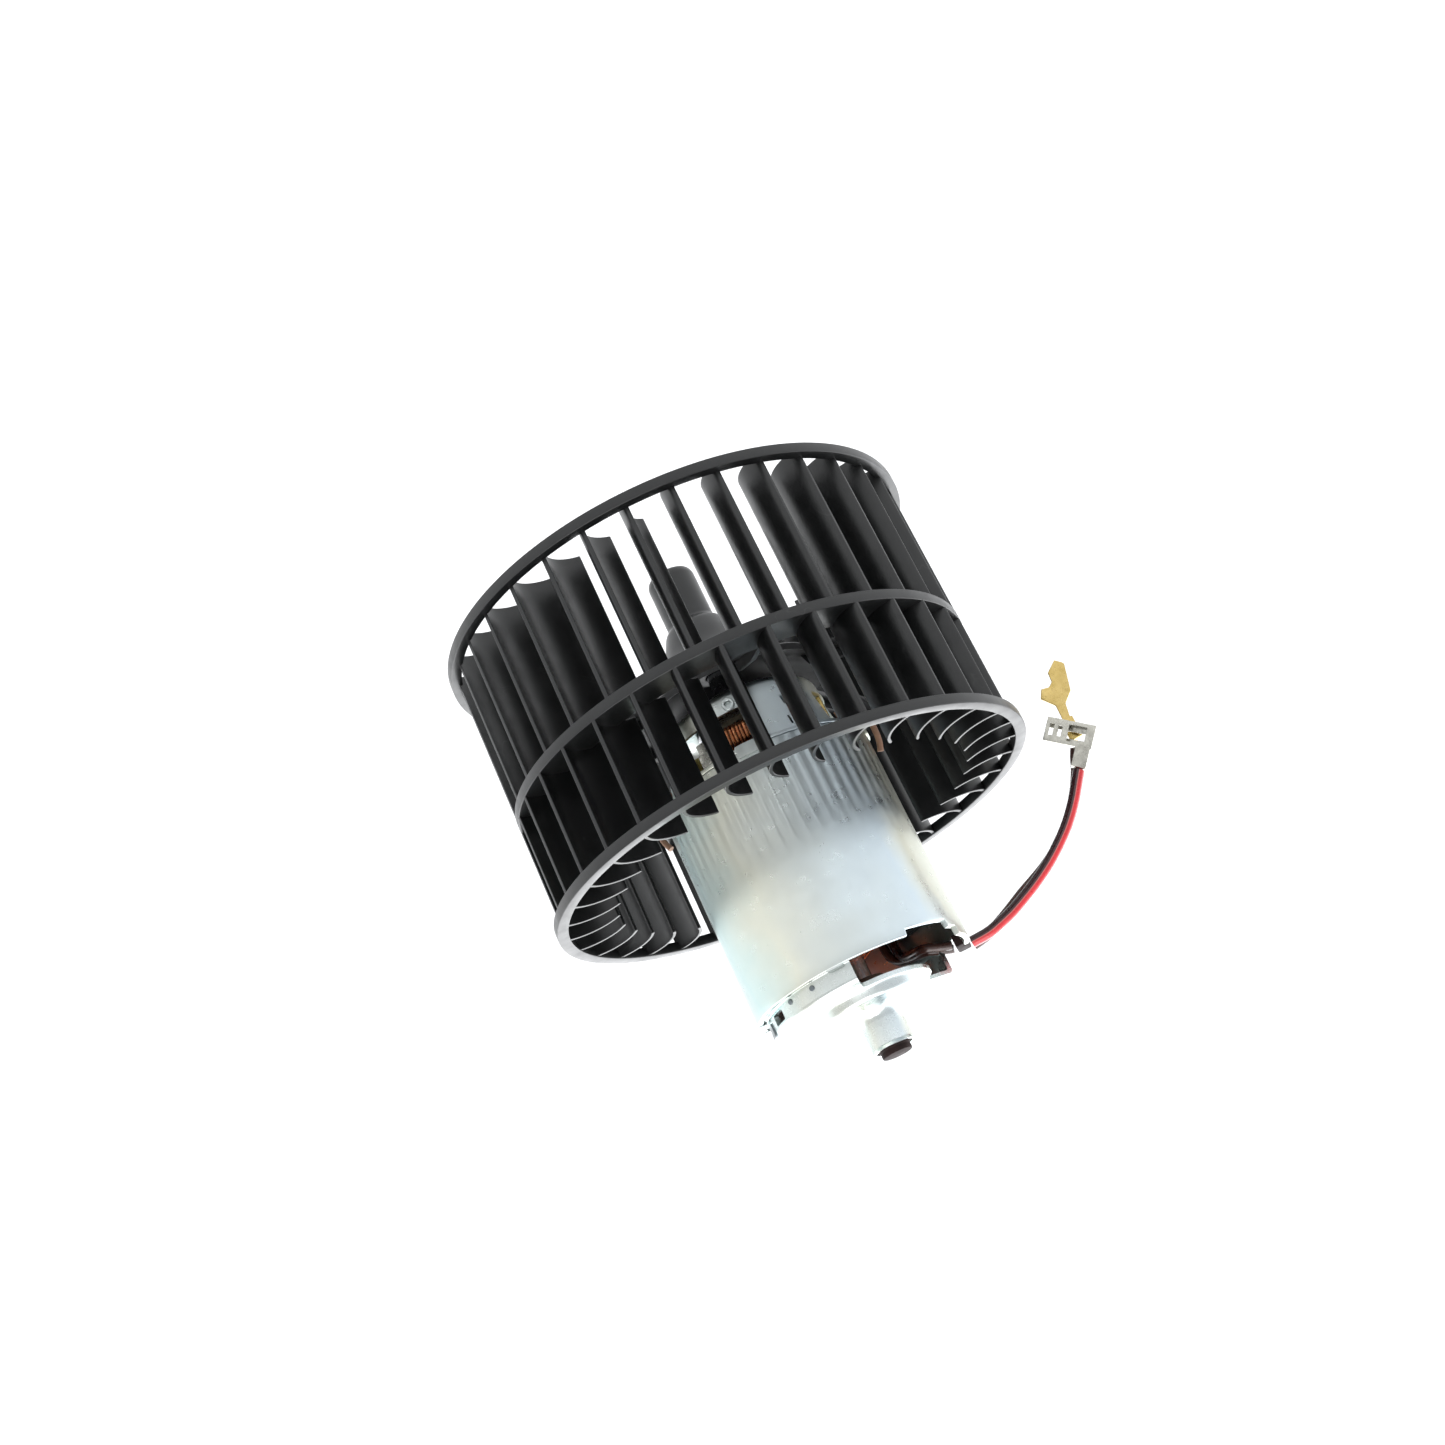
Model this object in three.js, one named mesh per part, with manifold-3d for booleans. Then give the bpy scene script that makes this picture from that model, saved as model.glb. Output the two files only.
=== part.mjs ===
// Heater blower: a double-row squirrel-cage wheel on a brushed permanent-magnet motor.
// Millimetres, +Z from the nose of the wheel's hub to the tail of the motor, axis of rotation on Z.

import * as THREE from 'three';
import { mergeVertices } from 'three/addons/utils/BufferGeometryUtils.js';
import Module from 'manifold-3d';

const wasm = await Module();
wasm.setup();

// ---------------------------------------------------------------- driving dimensions

const GAP = 0.3;                    // running or seating gap between neighbouring pieces

// wheel
const WHEEL_R = 73;                 // over the end rings
const EDGE_R = 70.8;                // over the blades and the shelf between the rows
const RING_IN_R = 69.6;
const RING_TALL = 3.2;
const RING_A_Z = 6.5;               // face of the ring on the hub side
const MID_RING_Z = 54.5;
const RING_B_TOP = 92.75;           // face of the ring on the motor side
const BLADES = 33;                  // in each of the two rows
const BLADE_THICK = 0.95;
const BLADE_ARC_R = 12.3;           // radius of the blade's section
const BLADE_ARC_X = 63.6;           // centre of that arc, outwards from the axis
const BLADE_ARC_Y = -10.8;          // and sideways
const BLADE_TAIL_DEG = 55.5;        // arc angle at the outer edge
const BLADE_NOSE_DEG = 137.3;       // arc angle at the inner edge
const INSET = 0.4;                  // how far a blade stops short inside its ring
const LOWER_ROW_DEG = 0.95;         // angle of the first blade of the row nearest the motor
const SHELF_IN_R = 59;              // inner edge of the plate at mid height
const SPOKES = 6;
const SPOKE_FIRST_DEG = 12;
const SPOKE_WIDE = 9;
const SPOKE_RIB_THICK = 1.8;
const HUB_R = 7.3;
const SLEEVE_R = 6.4;               // hub sleeve inside the bell
const SLEEVE_ROOT_Z = 24.5;
const SLEEVE_END_Z = 36;
const BELL_RIM_R = 31;

// shaft line
const SHAFT_R = 3;
const SHAFT_Z = [6, 152];
const BORE_R = SHAFT_R + GAP;

// motor case
const CAN_R = 31.7;
const CAN_WALL = 1.6;
const CAN_Z = [72.5, 137.5];
const BOSS_R = 8;                   // front bearing boss
const BOSS_BORE_R = 6.8;
const BOSS_TOP_Z = 44.5;
const DOME_TOP_Z = 50.5;
const DOME_R = 24.5;
const SHEET = 1.2;                  // thickness of the drawn end pieces
const NOSE_R = 6.2;                 // tail tube that holds the rear bearing
const NOSE_BORE_R = 5.4;
const NOSE_END_Z = 157.85;
const CAP_PLATE_Z = 143;
const CAP_STEP_Z = 146.2;

// rotor
const CORE_R = 23.6;
const CORE_Z = [86, 116];
const SLOTS = 12;
const COMM_R = 10.5;
const COMM_Z = [56, 69.6];
const RISER_R = 11.4;               // hooks that take the wires, above the brush track
const RISER_Z = 67.6;

// field magnets
const MAGNET_R = [24.5, CAN_R - CAN_WALL - GAP];
const MAGNET_Z = [80, 126];
const MAGNET_HALF_DEG = 60;

// brush gear, brushes on the X axis
const BRUSH_Z = 62.5;
const BRUSH_WIDE = 5;
const BRUSH_TALL = 7;
const BRUSH_FROM = COMM_R + GAP;
const BRUSH_LONG = 8;
const HOLDER_WALL = 0.9;
const HOLDER_X = [12.2, 24.6];
const BRUSH_PLATE_Z = [70.2, 72.2];
const SPRING_R = 2.2;

// suppression chokes, on the Y axis
const CHOKE_AT_R = 19.8;
const CHOKE_CORE_R = 2;
const CHOKE_COIL_R = 4.1;
const CHOKE_Z = 63.6;
const CHOKE_HALF_LONG = 6;          // the rod lies crosswise, square to the axis of rotation

// leads
const LEAD_R = 1.7;
const INNER_LEAD_R = 1.3;            // thinner wire inside the can
const RED_LEAD_Y = 12;
const BROWN_LEAD_Y = 17.4;

// ---------------------------------------------------------------- colours and finishes

const finish = (color, roughness, metalness) =>
  new THREE.MeshStandardMaterial({ color, roughness, metalness });

const FINISHES = {
  wheelPlastic: finish(0x26282a, 0.5, 0),
  zincPlate: finish(0xc4ccca, 0.32, 1),
  darkZinc: finish(0x7d8488, 0.4, 1),
  shaftSteel: finish(0xb9bcc0, 0.25, 1),
  springSteel: finish(0x8d9296, 0.35, 1),
  sinteredBronze: finish(0x9a7a4c, 0.55, 1),
  coreSteel: finish(0x6a6d70, 0.5, 1),
  enamelCopper: finish(0xa8491f, 0.35, 1),
  barCopper: finish(0xb8683a, 0.3, 1),
  ferrite: finish(0x2e2f31, 0.8, 0),
  brass: finish(0xc9a545, 0.3, 1),
  tin: finish(0xc9c7b8, 0.35, 1),
  carbon: finish(0x2b2b2c, 0.75, 0),
  phenolic: finish(0x3a2a1c, 0.6, 0),
  felt: finish(0xb8ab90, 0.95, 0),
  rubber: finish(0x18181a, 0.85, 0),
  redPvc: finish(0xc0242a, 0.4, 0),
  brownPvc: finish(0x5b2f23, 0.4, 0),
  sleeveTan: finish(0xa5876c, 0.6, 0),
};

// ---------------------------------------------------------------- geometry helpers

const rad = THREE.MathUtils.degToRad;

// Leaves only merged positions and drops the collapsed triangles at a pole.
function closed(geometry) {
  geometry.deleteAttribute('normal');
  geometry.deleteAttribute('uv');
  const merged = mergeVertices(geometry);
  const from = merged.index.array;
  const kept = [];
  for (let i = 0; i < from.length; i += 3) {
    const [a, b, c] = [from[i], from[i + 1], from[i + 2]];
    if (a !== b && b !== c && c !== a) kept.push(a, b, c);
  }
  merged.setIndex(kept);
  return merged;
}

function toSolid(geometry) {
  const g = closed(geometry);
  const vertProperties = Float32Array.from(g.attributes.position.array);
  const triVerts = Uint32Array.from(g.index.array);
  return new wasm.Manifold(new wasm.Mesh({ numProp: 3, vertProperties, triVerts }));
}

function fromSolid(solid) {
  const mesh = solid.getMesh();
  const g = new THREE.BufferGeometry();
  g.setAttribute('position', new THREE.BufferAttribute(mesh.vertProperties, 3));
  g.setIndex([...mesh.triVerts]);
  return g;
}

// Turns a closed [radius, height] outline about Z, whichever way round it was written.
function turned(outline, segments = 48) {
  const area = outline.reduce((sum, [r, z], i) => {
    const [r2, z2] = outline[(i + 1) % outline.length];
    return sum + r * z2 - r2 * z;
  }, 0);
  const ordered = area > 0 ? outline : [...outline].reverse();
  const points = ordered.map(([r, z]) => new THREE.Vector2(r, z));
  points.push(points[0].clone());
  return closed(new THREE.LatheGeometry(points, segments).rotateX(Math.PI / 2));
}

const tubeRing = (inner, outer, [low, high], segments) =>
  turned([[inner, low], [outer, low], [outer, high], [inner, high]], segments);

// Extrudes an [x, y] outline along Z.
function prism(outline, [low, high]) {
  const shape = new THREE.Shape(outline.map(([x, y]) => new THREE.Vector2(x, y)));
  const g = new THREE.ExtrudeGeometry(shape, { depth: high - low, bevelEnabled: false });
  return g.translate(0, 0, low);
}

// A slice of a ring between two angles.
function sector(inner, outer, fromDeg, toDeg, zRange, steps = 8) {
  const arc = (r, a, b) => Array.from({ length: steps + 1 }, (_, i) => {
    const t = rad(a + (b - a) * i / steps);
    return [r * Math.cos(t), r * Math.sin(t)];
  });
  return prism([...arc(outer, fromDeg, toDeg), ...arc(inner, toDeg, fromDeg)], zRange);
}

const block = ([x0, x1], [y0, y1], [z0, z1]) =>
  new THREE.BoxGeometry(x1 - x0, y1 - y0, z1 - z0)
    .translate((x0 + x1) / 2, (y0 + y1) / 2, (z0 + z1) / 2);

// A round section swept along points, straight through the first and last of them.
function hose(points, radius, sides = 8, steps = 24) {
  const path = new THREE.CatmullRomCurve3(points.map((p) => new THREE.Vector3(...p)));
  const ring = Array.from({ length: sides }, (_, i) => {
    const t = 2 * Math.PI * i / sides;
    return new THREE.Vector2(radius * Math.cos(t), radius * Math.sin(t));
  });
  return new THREE.ExtrudeGeometry(new THREE.Shape(ring), { steps, extrudePath: path });
}

function cut(geometry, ...tools) {
  return fromSolid(tools.reduce((s, tool) => s.subtract(toSolid(tool)), toSolid(geometry)));
}

function joined(...geometries) {
  const [first, ...rest] = geometries.map(toSolid);
  return fromSolid(rest.reduce((s, piece) => s.add(piece), first));
}

function node(group, name, geometry, material) {
  const mesh = new THREE.Mesh(geometry, material);
  mesh.name = name;
  group.add(mesh);
  return mesh;
}

// ---------------------------------------------------------------- the wheel

function bladeOutline() {
  const steps = 3;
  const arc = (r, a, b) => Array.from({ length: steps + 1 }, (_, i) => {
    const t = rad(a + (b - a) * i / steps);
    return [BLADE_ARC_X + r * Math.cos(t), BLADE_ARC_Y + r * Math.sin(t)];
  });
  const half = BLADE_THICK / 2;
  return [
    ...arc(BLADE_ARC_R + half, BLADE_TAIL_DEG, BLADE_NOSE_DEG),
    ...arc(BLADE_ARC_R - half, BLADE_NOSE_DEG, BLADE_TAIL_DEG),
  ];
}

function bladeRow(firstDeg, zRange) {
  const pitch = 360 / BLADES;
  return Array.from({ length: BLADES }, (_, i) =>
    prism(bladeOutline(), zRange).rotateZ(rad(firstDeg + i * pitch)));
}

// Hub, its hollow bell and the sleeve on the shaft are one turned shape.
function hubAndBell() {
  return turned([
    [0, 0], [5.2, 0], [6.6, 0.6], [HUB_R, 2.2], [HUB_R, 18],
    [9, 19.4], [10.6, 23], [13, 29], [18, 36], [24.5, 41.6], [BELL_RIM_R, 45],
    [BELL_RIM_R, 47.4], [23.2, 43.8], [16.2, 38], [11, 30], [8.8, SLEEVE_ROOT_Z],
    [SLEEVE_R, SLEEVE_ROOT_Z], [SLEEVE_R, SLEEVE_END_Z], [BORE_R, SLEEVE_END_Z],
    [BORE_R, SHAFT_Z[0] - GAP], [0, SHAFT_Z[0] - GAP],
  ], 36);
}

function spoke(deg) {
  const flange = [[BELL_RIM_R - 3, 43.6], [60, 54.8], [60, 57], [BELL_RIM_R - 3, 45.8]];
  const rib = [
    [24, 39.5], [31, 44], [46, 48.4], [60.4, 54.8], [60.4, 57.6], [45, 54.6], [27, 48.6],
  ];
  // outline in the plane of the axis, thickness across it
  const plate = (outline, thick) =>
    prism(outline, [-thick / 2, thick / 2]).rotateX(Math.PI / 2).rotateZ(rad(deg));
  return [plate(flange, SPOKE_WIDE), plate(rib, SPOKE_RIB_THICK)];
}

function fanWheel() {
  const segments = 44;
  const ringA = tubeRing(RING_IN_R, WHEEL_R, [RING_A_Z, RING_A_Z + RING_TALL], segments);
  const shelf = tubeRing(SHELF_IN_R, EDGE_R, [MID_RING_Z, MID_RING_Z + RING_TALL], segments);
  const ringB = tubeRing(RING_IN_R, WHEEL_R, [RING_B_TOP - RING_TALL, RING_B_TOP], segments);
  const midZ = MID_RING_Z + RING_TALL / 2;
  const halfPitch = 180 / BLADES;
  const spokes = Array.from({ length: SPOKES }, (_, i) =>
    spoke(SPOKE_FIRST_DEG + i * 360 / SPOKES));
  return joined(
    ringA, shelf, ringB, hubAndBell(), ...spokes.flat(),
    ...bladeRow(LOWER_ROW_DEG + halfPitch, [RING_A_Z + INSET, midZ - INSET]),
    ...bladeRow(LOWER_ROW_DEG, [midZ + INSET, RING_B_TOP - INSET]),
  );
}

// ---------------------------------------------------------------- the rotor inside

function armatureCore() {
  const toothHalf = 360 / SLOTS * 0.42;
  const neckHalf = 5;
  const outline = [];
  for (let i = 0; i < SLOTS; i += 1) {
    const mid = i * 360 / SLOTS;
    const at = (r, deg) => outline.push([r * Math.cos(rad(deg)), r * Math.sin(rad(deg))]);
    at(12, mid - neckHalf);
    at(19, mid - neckHalf);
    at(21.4, mid - toothHalf);
    at(CORE_R, mid - toothHalf);
    at(CORE_R, mid);
    at(CORE_R, mid + toothHalf);
    at(21.4, mid + toothHalf);
    at(19, mid + neckHalf);
    at(12, mid + neckHalf);
  }
  return cut(prism(outline, CORE_Z), tubeRing(0, BORE_R, [CORE_Z[0] - 1, CORE_Z[1] + 1], 24));
}

const windingFront = () => turned([
  [9, 78], [13, 75], [18, 76], [21, 80], [21.4, CORE_Z[0] - GAP], [6.5, CORE_Z[0] - GAP],
  [6.5, 80],
], 24);

const windingRear = () => turned([
  [6.5, CORE_Z[1] + GAP], [21.4, CORE_Z[1] + GAP], [22, 123], [20, 128.5], [15, 131], [9, 129],
  [6.5, 124],
], 24);

function rotor() {
  const group = new THREE.Group();
  node(group, 'fan_wheel', fanWheel(), FINISHES.wheelPlastic);
  node(group, 'hub_spring_clip', tubeRing(SLEEVE_R + GAP, 7.9, [31, 34], 32), FINISHES.springSteel);
  node(group, 'rotor_shaft', turned([
    [0, SHAFT_Z[0]], [SHAFT_R - 0.6, SHAFT_Z[0]], [SHAFT_R, SHAFT_Z[0] + 0.6],
    [SHAFT_R, SHAFT_Z[1] - 0.6], [SHAFT_R - 0.6, SHAFT_Z[1]], [0, SHAFT_Z[1]],
  ], 24), FINISHES.shaftSteel);
  node(group, 'front_thrust_washer', tubeRing(BORE_R, 6, [54.5, 55.6], 24), FINISHES.phenolic);
  node(group, 'rear_thrust_washer', tubeRing(BORE_R, 6, [138, 139.2], 24), FINISHES.phenolic);
  node(group, 'commutator_insulator', tubeRing(BORE_R, 7.2, COMM_Z, 24), FINISHES.phenolic);
  const commIn = 7.5;
  const barRange = [COMM_Z[0] + 0.5, RISER_Z - GAP];
  node(group, 'commutator', tubeRing(commIn, COMM_R, barRange, 28), FINISHES.barCopper);
  node(group, 'commutator_risers', tubeRing(commIn, RISER_R, [RISER_Z, COMM_Z[1]], 28), FINISHES.barCopper);
  node(group, 'armature_core', armatureCore(), FINISHES.coreSteel);
  node(group, 'armature_winding_front', windingFront(), FINISHES.enamelCopper);
  node(group, 'armature_winding_rear', windingRear(), FINISHES.enamelCopper);
  return group;
}

// ---------------------------------------------------------------- the motor case

function motorCan() {
  const inner = CAN_R - CAN_WALL;
  const rim = CAN_Z[1];
  const ear = sector(inner, CAN_R, 168, 199, [rim - 3, rim + 4], 6);
  return cut(
    joined(tubeRing(inner, CAN_R, CAN_Z, 52), ear),
    sector(inner - 2, CAN_R + 2, 207, 237, [rim - 1.9, rim + 1]),
    block([-40, -20], [8.1, 21.9], [rim - 2.5, rim + 1]),
  );
}

function frontBracket() {
  const flangeIn = 27;
  const body = turned([
    [BOSS_BORE_R, BOSS_TOP_Z], [BOSS_R, BOSS_TOP_Z], [BOSS_R, DOME_TOP_Z],
    [DOME_R - 2, DOME_TOP_Z], [DOME_R, DOME_TOP_Z + 1.6], [DOME_R + 0.8, 58], [flangeIn + 0.8, 71],
    [CAN_R, 71], [CAN_R, CAN_Z[0] - GAP], [flangeIn - 0.4, CAN_Z[0] - GAP],
    [DOME_R - 0.4, 58], [DOME_R - SHEET - 0.2, DOME_TOP_Z + 2.2], [DOME_R - 3, DOME_TOP_Z + SHEET],
    [BOSS_BORE_R, DOME_TOP_Z + SHEET],
  ], 36);
  const window = (from, to, low, high) => sector(16, 29.5, from, to, [low, high], 6);
  return cut(
    body,
    window(254, 290, 57.6, 69.6),
    window(306, 330, 55.5, 69.6),
    window(346, 378, 57.6, 69.6),
    window(38, 56, 55.5, 69.6),
    window(72, 108, 57.6, 69.6),
    window(134, 156, 55.5, 69.6),
    window(166, 204, 57.6, 69.6),
    window(222, 228, 55.5, 69.6),
  );
}

function rearEndCap() {
  const flangeOut = CAN_R - CAN_WALL - GAP;
  const low = CAN_Z[1] - 1.6;
  const body = turned([
    [27.2, low], [flangeOut, low], [flangeOut, low + SHEET], [28.6, low + SHEET],
    [28.6, CAP_PLATE_Z - 0.8], [27.8, CAP_PLATE_Z], [17.6, CAP_PLATE_Z], [16.6, CAP_STEP_Z - 0.6],
    [16, CAP_STEP_Z], [9.4, CAP_STEP_Z], [NOSE_R, CAP_STEP_Z + 2.6], [NOSE_R, NOSE_END_Z - 0.9],
    [NOSE_R + 0.6, NOSE_END_Z], [NOSE_BORE_R, NOSE_END_Z], [NOSE_BORE_R, CAP_STEP_Z - SHEET],
    [15, CAP_STEP_Z - SHEET], [16.4, CAP_PLATE_Z - SHEET], [27.2, CAP_PLATE_Z - SHEET],
  ], 36);
  const slit = (x, y) => block([x - 1.7, x + 1.7], [y - 0.4, y + 0.4], [140, 145]);
  return cut(
    body,
    sector(18.2, 33, 156, 268.5, [low - 1, CAP_PLATE_Z + 1], 14),
    sector(18.2, 33, 24, 80, [low - 1, CAP_PLATE_Z + 1], 10),
    sector(26, 33, 320, 332, [138.2, 141.2], 3),
    block([-34, -20], [8.1, 21.9], [low - 1, CAP_PLATE_Z - SHEET - 0.2]),
    slit(20.7, 3.3),
    slit(-17.7, 19),
  );
}

function magnet(mid) {
  return sector(...MAGNET_R, mid - MAGNET_HALF_DEG, mid + MAGNET_HALF_DEG, MAGNET_Z, 16);
}

// Bowed strip that pushes the two magnets apart round the can.
const magnetClip = (mid) => joined(
  sector(28.4, MAGNET_R[1], mid - 17, mid + 17, [84, 122], 6),
  sector(25, 29, mid + 12, mid + 17, [84, 122], 2),
  sector(25, 29, mid - 17, mid - 12, [84, 122], 2),
);

// ---------------------------------------------------------------- the brush gear

function brushPlate() {
  return cut(
    tubeRing(12.4, 24.6, BRUSH_PLATE_Z, 40),
    sector(21.5, 26, 100, 118, [BRUSH_PLATE_Z[0] - 1, BRUSH_PLATE_Z[1] + 1], 3),
  );
}

// A brass channel on a foot, drawn for the brush on the +X side.
function brushHolder() {
  const halfWide = BRUSH_WIDE / 2 + GAP;
  const halfTall = BRUSH_TALL / 2 + GAP;
  const outer = block(
    HOLDER_X,
    [-halfWide - HOLDER_WALL, halfWide + HOLDER_WALL],
    [BRUSH_Z - halfTall - HOLDER_WALL, BRUSH_PLATE_Z[0] - GAP],
  );
  const channel = block(
    [HOLDER_X[0] - 1, HOLDER_X[1] - HOLDER_WALL],
    [-halfWide, halfWide],
    [BRUSH_Z - halfTall, BRUSH_Z + halfTall],
  );
  const slot = block([14, 22], [halfWide - 1, halfWide + 2], [BRUSH_Z - 0.9, BRUSH_Z + 0.9]);
  return cut(outer, channel, slot);
}

const brush = () => block(
  [BRUSH_FROM, BRUSH_FROM + BRUSH_LONG],
  [-BRUSH_WIDE / 2, BRUSH_WIDE / 2],
  [BRUSH_Z - BRUSH_TALL / 2, BRUSH_Z + BRUSH_TALL / 2],
);

const brushSpring = () => turned([
  [SPRING_R - 0.8, 0], [SPRING_R, 0], [SPRING_R, 4.2], [SPRING_R - 0.8, 4.2],
], 12).rotateY(Math.PI / 2).translate(BRUSH_FROM + BRUSH_LONG + GAP, 0, BRUSH_Z);

// Short braid stub standing out of the brush through the slot in its holder.
const brushShunt = () => hose([
  [15.4, BRUSH_WIDE / 2 + GAP, BRUSH_Z], [15.6, 4.4, BRUSH_Z], [16, 5.6, BRUSH_Z + 0.4],
  [16.4, 6.6, BRUSH_Z + 1.4],
], 0.55, 6, 6);

function brushGear(side, turn) {
  const group = new THREE.Group();
  group.rotation.z = turn;
  node(group, `brush_holder_${side}`, brushHolder(), FINISHES.brass);
  node(group, `brush_${side}`, brush(), FINISHES.carbon);
  node(group, `brush_shunt_${side}`, brushShunt(), FINISHES.barCopper);
  node(group, `brush_spring_${side}`, brushSpring(), FINISHES.springSteel);
  return group;
}

// Ferrite rod with its coil, and the sleeved wire that loops outside the can rim.
function choke(side, deg, loopDeg) {
  const group = new THREE.Group();
  group.rotation.z = rad(deg);
  const coilHalf = CHOKE_HALF_LONG - 1.6;
  const crosswise = (geometry) => geometry.rotateX(Math.PI / 2).translate(CHOKE_AT_R, 0, CHOKE_Z);
  const rod = tubeRing(0, CHOKE_CORE_R, [-CHOKE_HALF_LONG, CHOKE_HALF_LONG], 14);
  const coil = tubeRing(CHOKE_CORE_R + GAP, CHOKE_COIL_R, [-coilHalf, coilHalf], 20);
  node(group, `choke_core_${side}`, crosswise(rod), FINISHES.ferrite);
  node(group, `choke_coil_${side}`, crosswise(coil), FINISHES.enamelCopper);
  const loop = hose([
    [26.2, 0.6, 64.2], [29.5, 0.6, 64], [32.8, 0.4, 65.8], [34.3, 0, 69.5], [34.5, -0.4, 73.5],
    [34.1, -0.9, 77], [33.2, -1.4, 79.6],
  ], 0.9, 8, 12).rotateZ(rad(loopDeg - deg));
  node(group, `choke_lead_${side}`, loop, FINISHES.sleeveTan);
  return group;
}

// ---------------------------------------------------------------- leads and their terminals

const RED_ROUTE = [
  [-31.6, 12, 138.7], [-37, 12, 138.4], [-41, 12, 137.4], [-45.5, 12, 136], [-50.4, 12, 133.9],
  [-54.6, 12, 131.9], [-58.6, 12, 129.7], [-62.4, 12, 127.3], [-66.2, 12, 124.5], [-69.8, 12, 121.5],
  [-73, 12, 118.3], [-76, 12, 114.8], [-78.6, 12, 111.3], [-80.9, 12, 108.2],
];
const BROWN_ROUTE = [
  [-31.6, 17.4, 138.5], [-36.8, 17.4, 137.6], [-40.9, 17.3, 135.8], [-45.5, 17.2, 133.6], [-50.6, 17, 131],
  [-54.7, 17, 129.1], [-58.7, 17, 127.1], [-62.5, 17, 124.9], [-66.1, 17, 122.4], [-69.5, 17, 119.6],
  [-72.5, 17, 116.7], [-75.3, 17, 113.4], [-77.9, 17, 109.9], [-80.3, 17, 106.2], [-82.5, 17, 102.6],
  [-84.3, 17, 99.5],
];

// Stretch inside the can, from the brush plate up between the magnets to the grommet.
function innerRoute(deg, turnR, endY) {
  const at = (r, z, turn = 0) => [r * Math.cos(rad(deg + turn)), r * Math.sin(rad(deg + turn)), z];
  return [
    at(26.6, 74), at(26.6, 84), at(26.6, 110), at(26.6, 126), at((26.6 + turnR) / 2, 131, 4),
    at(turnR, 134.5, 14), [-18.5, endY - 1, 137.2], [-22.6, endY, 137.8], [-26.2, endY, 137.8],
  ];
}

// Push-on receptacle of the flag kind: its body lies square to the crimp barrel.
function flagReceptacle() {
  const body = block([-7, 7], [-1.4, 1.4], [-3.6, 3.6]);
  const channel = block([-8, 5.8], [-0.8, 0.9], [-2.9, 2.9]);
  const mouth = block([-8, 5.8], [0.2, 3], [-1.1, 1.1]);
  const windowA = block([-5.9, -4.7], [-3, 0], [-1.9, 1.9]);
  const windowB = block([-3.4, -2.3], [-3, 0], [-1.6, 1.6]);
  const windowC = block([-0.5, 4.6], [-3, 0], [-2.5, 2.5]);
  const barrel = prism(
    [[-2.1, -1.4], [2.1, -1.4], [2.1, 1.2], [1.2, 1.9], [-1.2, 1.9], [-2.1, 1.2]],
    [3.2, 9.4],
  ).translate(4.6, 0, 0);
  return joined(cut(body, channel, mouth, windowA, windowB, windowC), barrel);
}

// Flat blade tab with a locating wing, its outline in the X-Z plane.
function tabTerminal() {
  const outline = [
    [-92.1, 75.4], [-90.4, 73.8], [-87, 76.4], [-86.7, 79.4], [-85.3, 80.5], [-83, 80], [-81.5, 82.6],
    [-84.4, 86.4], [-84.2, 91.2], [-83.6, 92.2], [-86.9, 92.2], [-86.6, 91], [-87.3, 87.1],
    [-90.4, 84.3], [-92.5, 76.2],
  ];
  const blade = prism(outline.map(([x, z]) => [x, -z]), [-0.45, 0.45]).rotateX(-Math.PI / 2);
  const barrel = prism(
    [[-1.9, -1.5], [1.9, -1.5], [1.9, 1.1], [1, 1.9], [-1, 1.9], [-1.9, 1.1]],
    [0, 6.6],
  ).translate(-85.2, 0, 91.6);
  return joined(blade, barrel).translate(0, 17, 0);
}

function leads() {
  const group = new THREE.Group();
  const grommet = cut(
    block([-31.2, -26.6], [8.6, 21.4], [135.4, CAP_PLATE_Z - SHEET - 0.6]),
    block([-30.2, -28.7], [7.6, 9.3], [134, 143]),
    block([-30.2, -28.7], [20.7, 22.4], [134, 143]),
  );
  node(group, 'lead_grommet', grommet, FINISHES.rubber);
  const innerRed = hose(innerRoute(114.2, 21.6, RED_LEAD_Y), INNER_LEAD_R, 8, 18);
  const innerBrown = hose(innerRoute(107, 25.4, BROWN_LEAD_Y), INNER_LEAD_R, 8, 18);
  node(group, 'inner_lead_red', innerRed, FINISHES.redPvc);
  node(group, 'inner_lead_brown', innerBrown, FINISHES.brownPvc);
  node(group, 'lead_red', hose(RED_ROUTE, LEAD_R, 8, 26), FINISHES.redPvc);
  node(group, 'lead_brown', hose(BROWN_ROUTE, LEAD_R, 8, 28), FINISHES.brownPvc);
  const flag = node(group, 'flag_receptacle', flagReceptacle(), FINISHES.tin);
  flag.position.set(-83.6, 12, 97.4);
  flag.rotation.y = rad(40);
  flag.scale.x = -1;
  node(group, 'tab_terminal', tabTerminal(), FINISHES.brass);
  return group;
}

// ---------------------------------------------------------------- the motor, put together

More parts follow.
